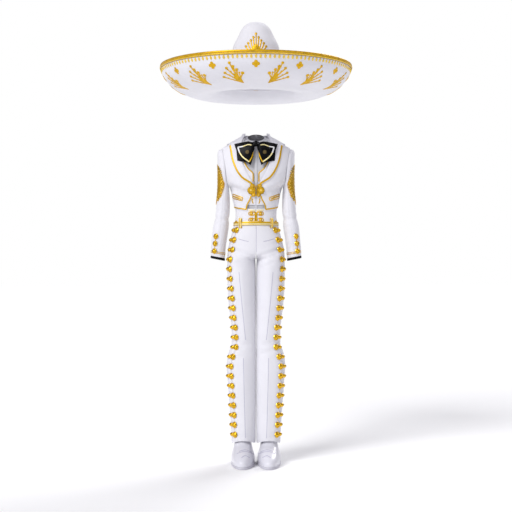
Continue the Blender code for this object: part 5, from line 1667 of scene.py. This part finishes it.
BRIM_STEPS, BRIM_LINE_RISE = 288, 0.0012
BAND_INSET, BAND_HALF_WIDTH, LINE_INSET, LINE_HALF_WIDTH = 0.0026, 0.0028, 0.0074, 0.0010
PICOTS, PICOT_INSET, PICOT_LENGTH, PICOT_WIDTH, PICOT_RISE = 137, 0.0085, 0.0170, 0.0100, 0.0022
UNDER_AND_UPPER = (True, False)
band_gold = thread_gold("band_gold", (0.90, 0.58, 0.03), 0.38)
trim("brim_band", [brim_ring(BAND_INSET, BAND_HALF_WIDTH, under) for under in UNDER_AND_UPPER], band_gold)
# The thin line is in the darker gold of painted shade.
trim("brim_line", [brim_ring(LINE_INSET, LINE_HALF_WIDTH, under) for under in UNDER_AND_UPPER], painted_shade_gold)
picot_gold = thread_gold("picot_gold", (0.93, 0.66, 0.10), 0.5)
picot = bpy.data.objects.new("picot_shape", bpy.data.meshes.new("picot_shape"))
picot_outline = leaf(0, 0, quarter, PICOT_LENGTH, PICOT_WIDTH, 0.6)
picot_points, picot_faces = raised(flat_plane, picot_outline, PICOT_RISE)
picot.data.from_pydata([tuple(p) for p in picot_points], [], picot_faces)
spots = []
for under in UNDER_AND_UPPER:
    for angle in np.linspace(0, 2 * math.pi, PICOTS + 1)[:-1]:
        place = brim_at(angle, brim_reach - PICOT_INSET, under)
        point, normal = place(0, 0)
        spots.append((point, place(0, -0.002)[0] - point, normal))
repeats("brim_picots", spots, picot, picot_gold, seed=5)
SPRAY_TIPS = (
    (-0.0756, 0.0440),
    (-0.0680, 0.0660),
    (-0.0580, 0.0880),
    (-0.0430, 0.1110),
    (-0.0300, 0.0950),
    (-0.0160, 0.0800),
    (0.0060, 0.0620),
)


def spray(place, lean):
    """A fan of stems from a pointed foot, each ending in a round bud with a smaller one beside it."""
    parts = [raised(place, leaf(0, -0.004, -0.46 * lean, 0.074, 0.026, 0.9), 0.0016)]
    for number, (x, z) in enumerate(SPRAY_TIPS):
        x *= lean
        bend = 0.12 * (number - 3)
        middle = (x * 0.52 - z * bend * lean * 0.4, z * 0.50)
        parts.append(line_on(place, [(0, 0.001), middle, (x * 0.94, z * 0.94)], 0.0029, 0.0016, step=0.006))
        last = number == len(SPRAY_TIPS) - 1
        parts.append(raised(place, disc(x, z, 0.0078 if last else 0.0064, 10), 0.0024))
        if not last:
            bud = (x * 0.84 + 0.0062 * lean, z * 0.84 - 0.002)
            parts.append(raised(place, disc(*bud, 0.0042, 8), 0.0018))
            parts.append(line_on(place, [(x * 0.4, z * 0.42), bud], 0.0020, 0.0014, step=0.008))
    return parts


def quatrefoil(place):
    parts = []
    for turn in (0, quarter, 2 * quarter, 3 * quarter):
        x, z = FOIL_SPREAD * math.sin(turn), FOIL_SPREAD * math.cos(turn)
        parts.append(raised(place, disc(x, z, 0.0078, 10), 0.0018))
    return parts + [raised(place, disc(0, 0, 0.0042, 8), 0.0028)]


motifs = []
SPRAY_FOOT, FOIL_PLACE = brim_reach - 0.153, brim_reach - 0.048
FOIL_ANGLES, FOOT_BESIDE = np.radians((0, 26.5, 56.5, 88, 119, 150, 180)), math.radians(9.4)
FOIL_SPREAD, LAST_FOIL = 0.0088, len(FOIL_ANGLES) - 1
for under in UNDER_AND_UPPER:
    for number, angle in enumerate(FOIL_ANGLES):
        on_middle_line = number in (0, LAST_FOIL)
        for side in (1,) if on_middle_line else (1, -1):
            motifs += quatrefoil(brim_at(side * angle, FOIL_PLACE, under))
        if number == LAST_FOIL:
            continue
        for side in (1, -1):
            motifs += spray(brim_at(side * (angle + FOOT_BESIDE), SPRAY_FOOT, under), -side)
trim("brim_embroidery", motifs)
CROWN_SPRAY_FOOT_Z, CROWN_LEAF_FOOT_Z, CROWN_CORD_INSET = 0.400, 0.378, 0.012
CROWN_TIP_ROWS = ((0.0115, 0.4740), (0.0225, 0.4600), (0.0340, 0.4480), (0.0440, 0.4340))
crown_tips = [(0, 0.4900)] + [(side * x, z) for x, z in CROWN_TIP_ROWS for side in (1, -1)]
crown_parts = []
for behind in (False, True):
    on_felt = seen(["sombrero_crown"], behind)
    for x, z in crown_tips:
        middle = (x * 0.75, CROWN_SPRAY_FOOT_Z + (z - CROWN_SPRAY_FOOT_Z) * 0.5)
        stem = ((x * 0.25, CROWN_SPRAY_FOOT_Z), middle, (x, z - 0.003))
        crown_parts.append(line_on(on_felt, stem, 0.0027, 0.0014, step=0.006))
        crown_parts.append(raised(on_felt, disc(x, z, 0.0056, 10), 0.0024))
    crown_parts.append(raised(on_felt, leaf(0, CROWN_LEAF_FOOT_Z, 0, 0.070, 0.046), 0.0018))
trim("crown_embroidery", crown_parts)
turn = hat_turn[:-1]
reach = np.full(HAT_STEPS, crown_reach - CROWN_CORD_INSET)
point = on_crown(turn, reach, np.zeros(HAT_STEPS))
above = on_crown(turn, reach, np.full(HAT_STEPS, OUT_STEP))
trim("crown_cord", [strip_mesh(point, (above - point) / OUT_STEP, 0.0042, 0.0036, closed=True)])

# Floor, soft studio light, and a camera level with the middle of the suit, as in the photograph.
FLOOR_REACH, FLOOR_Z = 30.0, SOLE_Z - 0.0005
# name, place, softness, power
LIGHT_ROWS = (("key", (-2.0, -2.6, 2.2), 24, 2.1), ("back", (1.6, 2.6, 2.2), 30, 1.3))
floor_mesh = bpy.data.meshes.new("floor")
corners = [(FLOOR_REACH * x, FLOOR_REACH * y, FLOOR_Z) for x, y in ((-1, -1), (1, -1), (1, 1), (-1, 1))]
floor_mesh.from_pydata(corners, [], [(0, 1, 2, 3)])
floor = bpy.data.objects.new("floor", floor_mesh)
bpy.context.scene.collection.objects.link(floor)
pale = bpy.data.materials.new("pale_floor")
pale.use_nodes = True
pale.node_tree.nodes["Principled BSDF"].inputs["Base Color"].default_value = (0.98, 0.98, 0.98, 1)
pale.node_tree.nodes["Principled BSDF"].inputs["Roughness"].default_value = 0.9
floor_mesh.materials.append(pale)
world = bpy.data.worlds.new("studio")
world.use_nodes = True
nodes, links = world.node_tree.nodes, world.node_tree.links
nodes["Background"].inputs["Color"].default_value = (0.93, 0.915, 1.0, 1)
nodes["Background"].inputs["Strength"].default_value = 0.40
backdrop = nodes.new("ShaderNodeBackground")
backdrop.inputs["Color"].default_value = (1, 1, 1, 1)
shown = nodes.new("ShaderNodeMixShader")
links.new(nodes.new("ShaderNodeLightPath").outputs["Is Camera Ray"], shown.inputs["Fac"])
links.new(nodes["Background"].outputs["Background"], shown.inputs[1])
links.new(backdrop.outputs["Background"], shown.inputs[2])
links.new(shown.outputs["Shader"], nodes["World Output"].inputs["Surface"])
bpy.context.scene.world = world
bpy.context.scene.view_settings.view_transform = "Standard"
for name, place, softness, power in LIGHT_ROWS:
    light = bpy.data.lights.new(name, "SUN")
    light.angle = math.radians(softness)
    light.energy = power
    lamp = bpy.data.objects.new(name, light)
    lamp.location = place
    lamp.rotation_euler = (Vector((0, 0, -0.4)) - Vector(place)).to_track_quat("-Z", "Y").to_euler()
    bpy.context.scene.collection.objects.link(lamp)
camera_data = bpy.data.cameras.new("camera")
camera_data.lens = 79.9
camera_data.sensor_width = 36
camera = bpy.data.objects.new("camera", camera_data)
camera.location = EYE
camera.rotation_euler = (math.pi / 2, 0, 0)
bpy.context.scene.collection.objects.link(camera)
bpy.context.scene.camera = camera
bpy.context.view_layer.update()
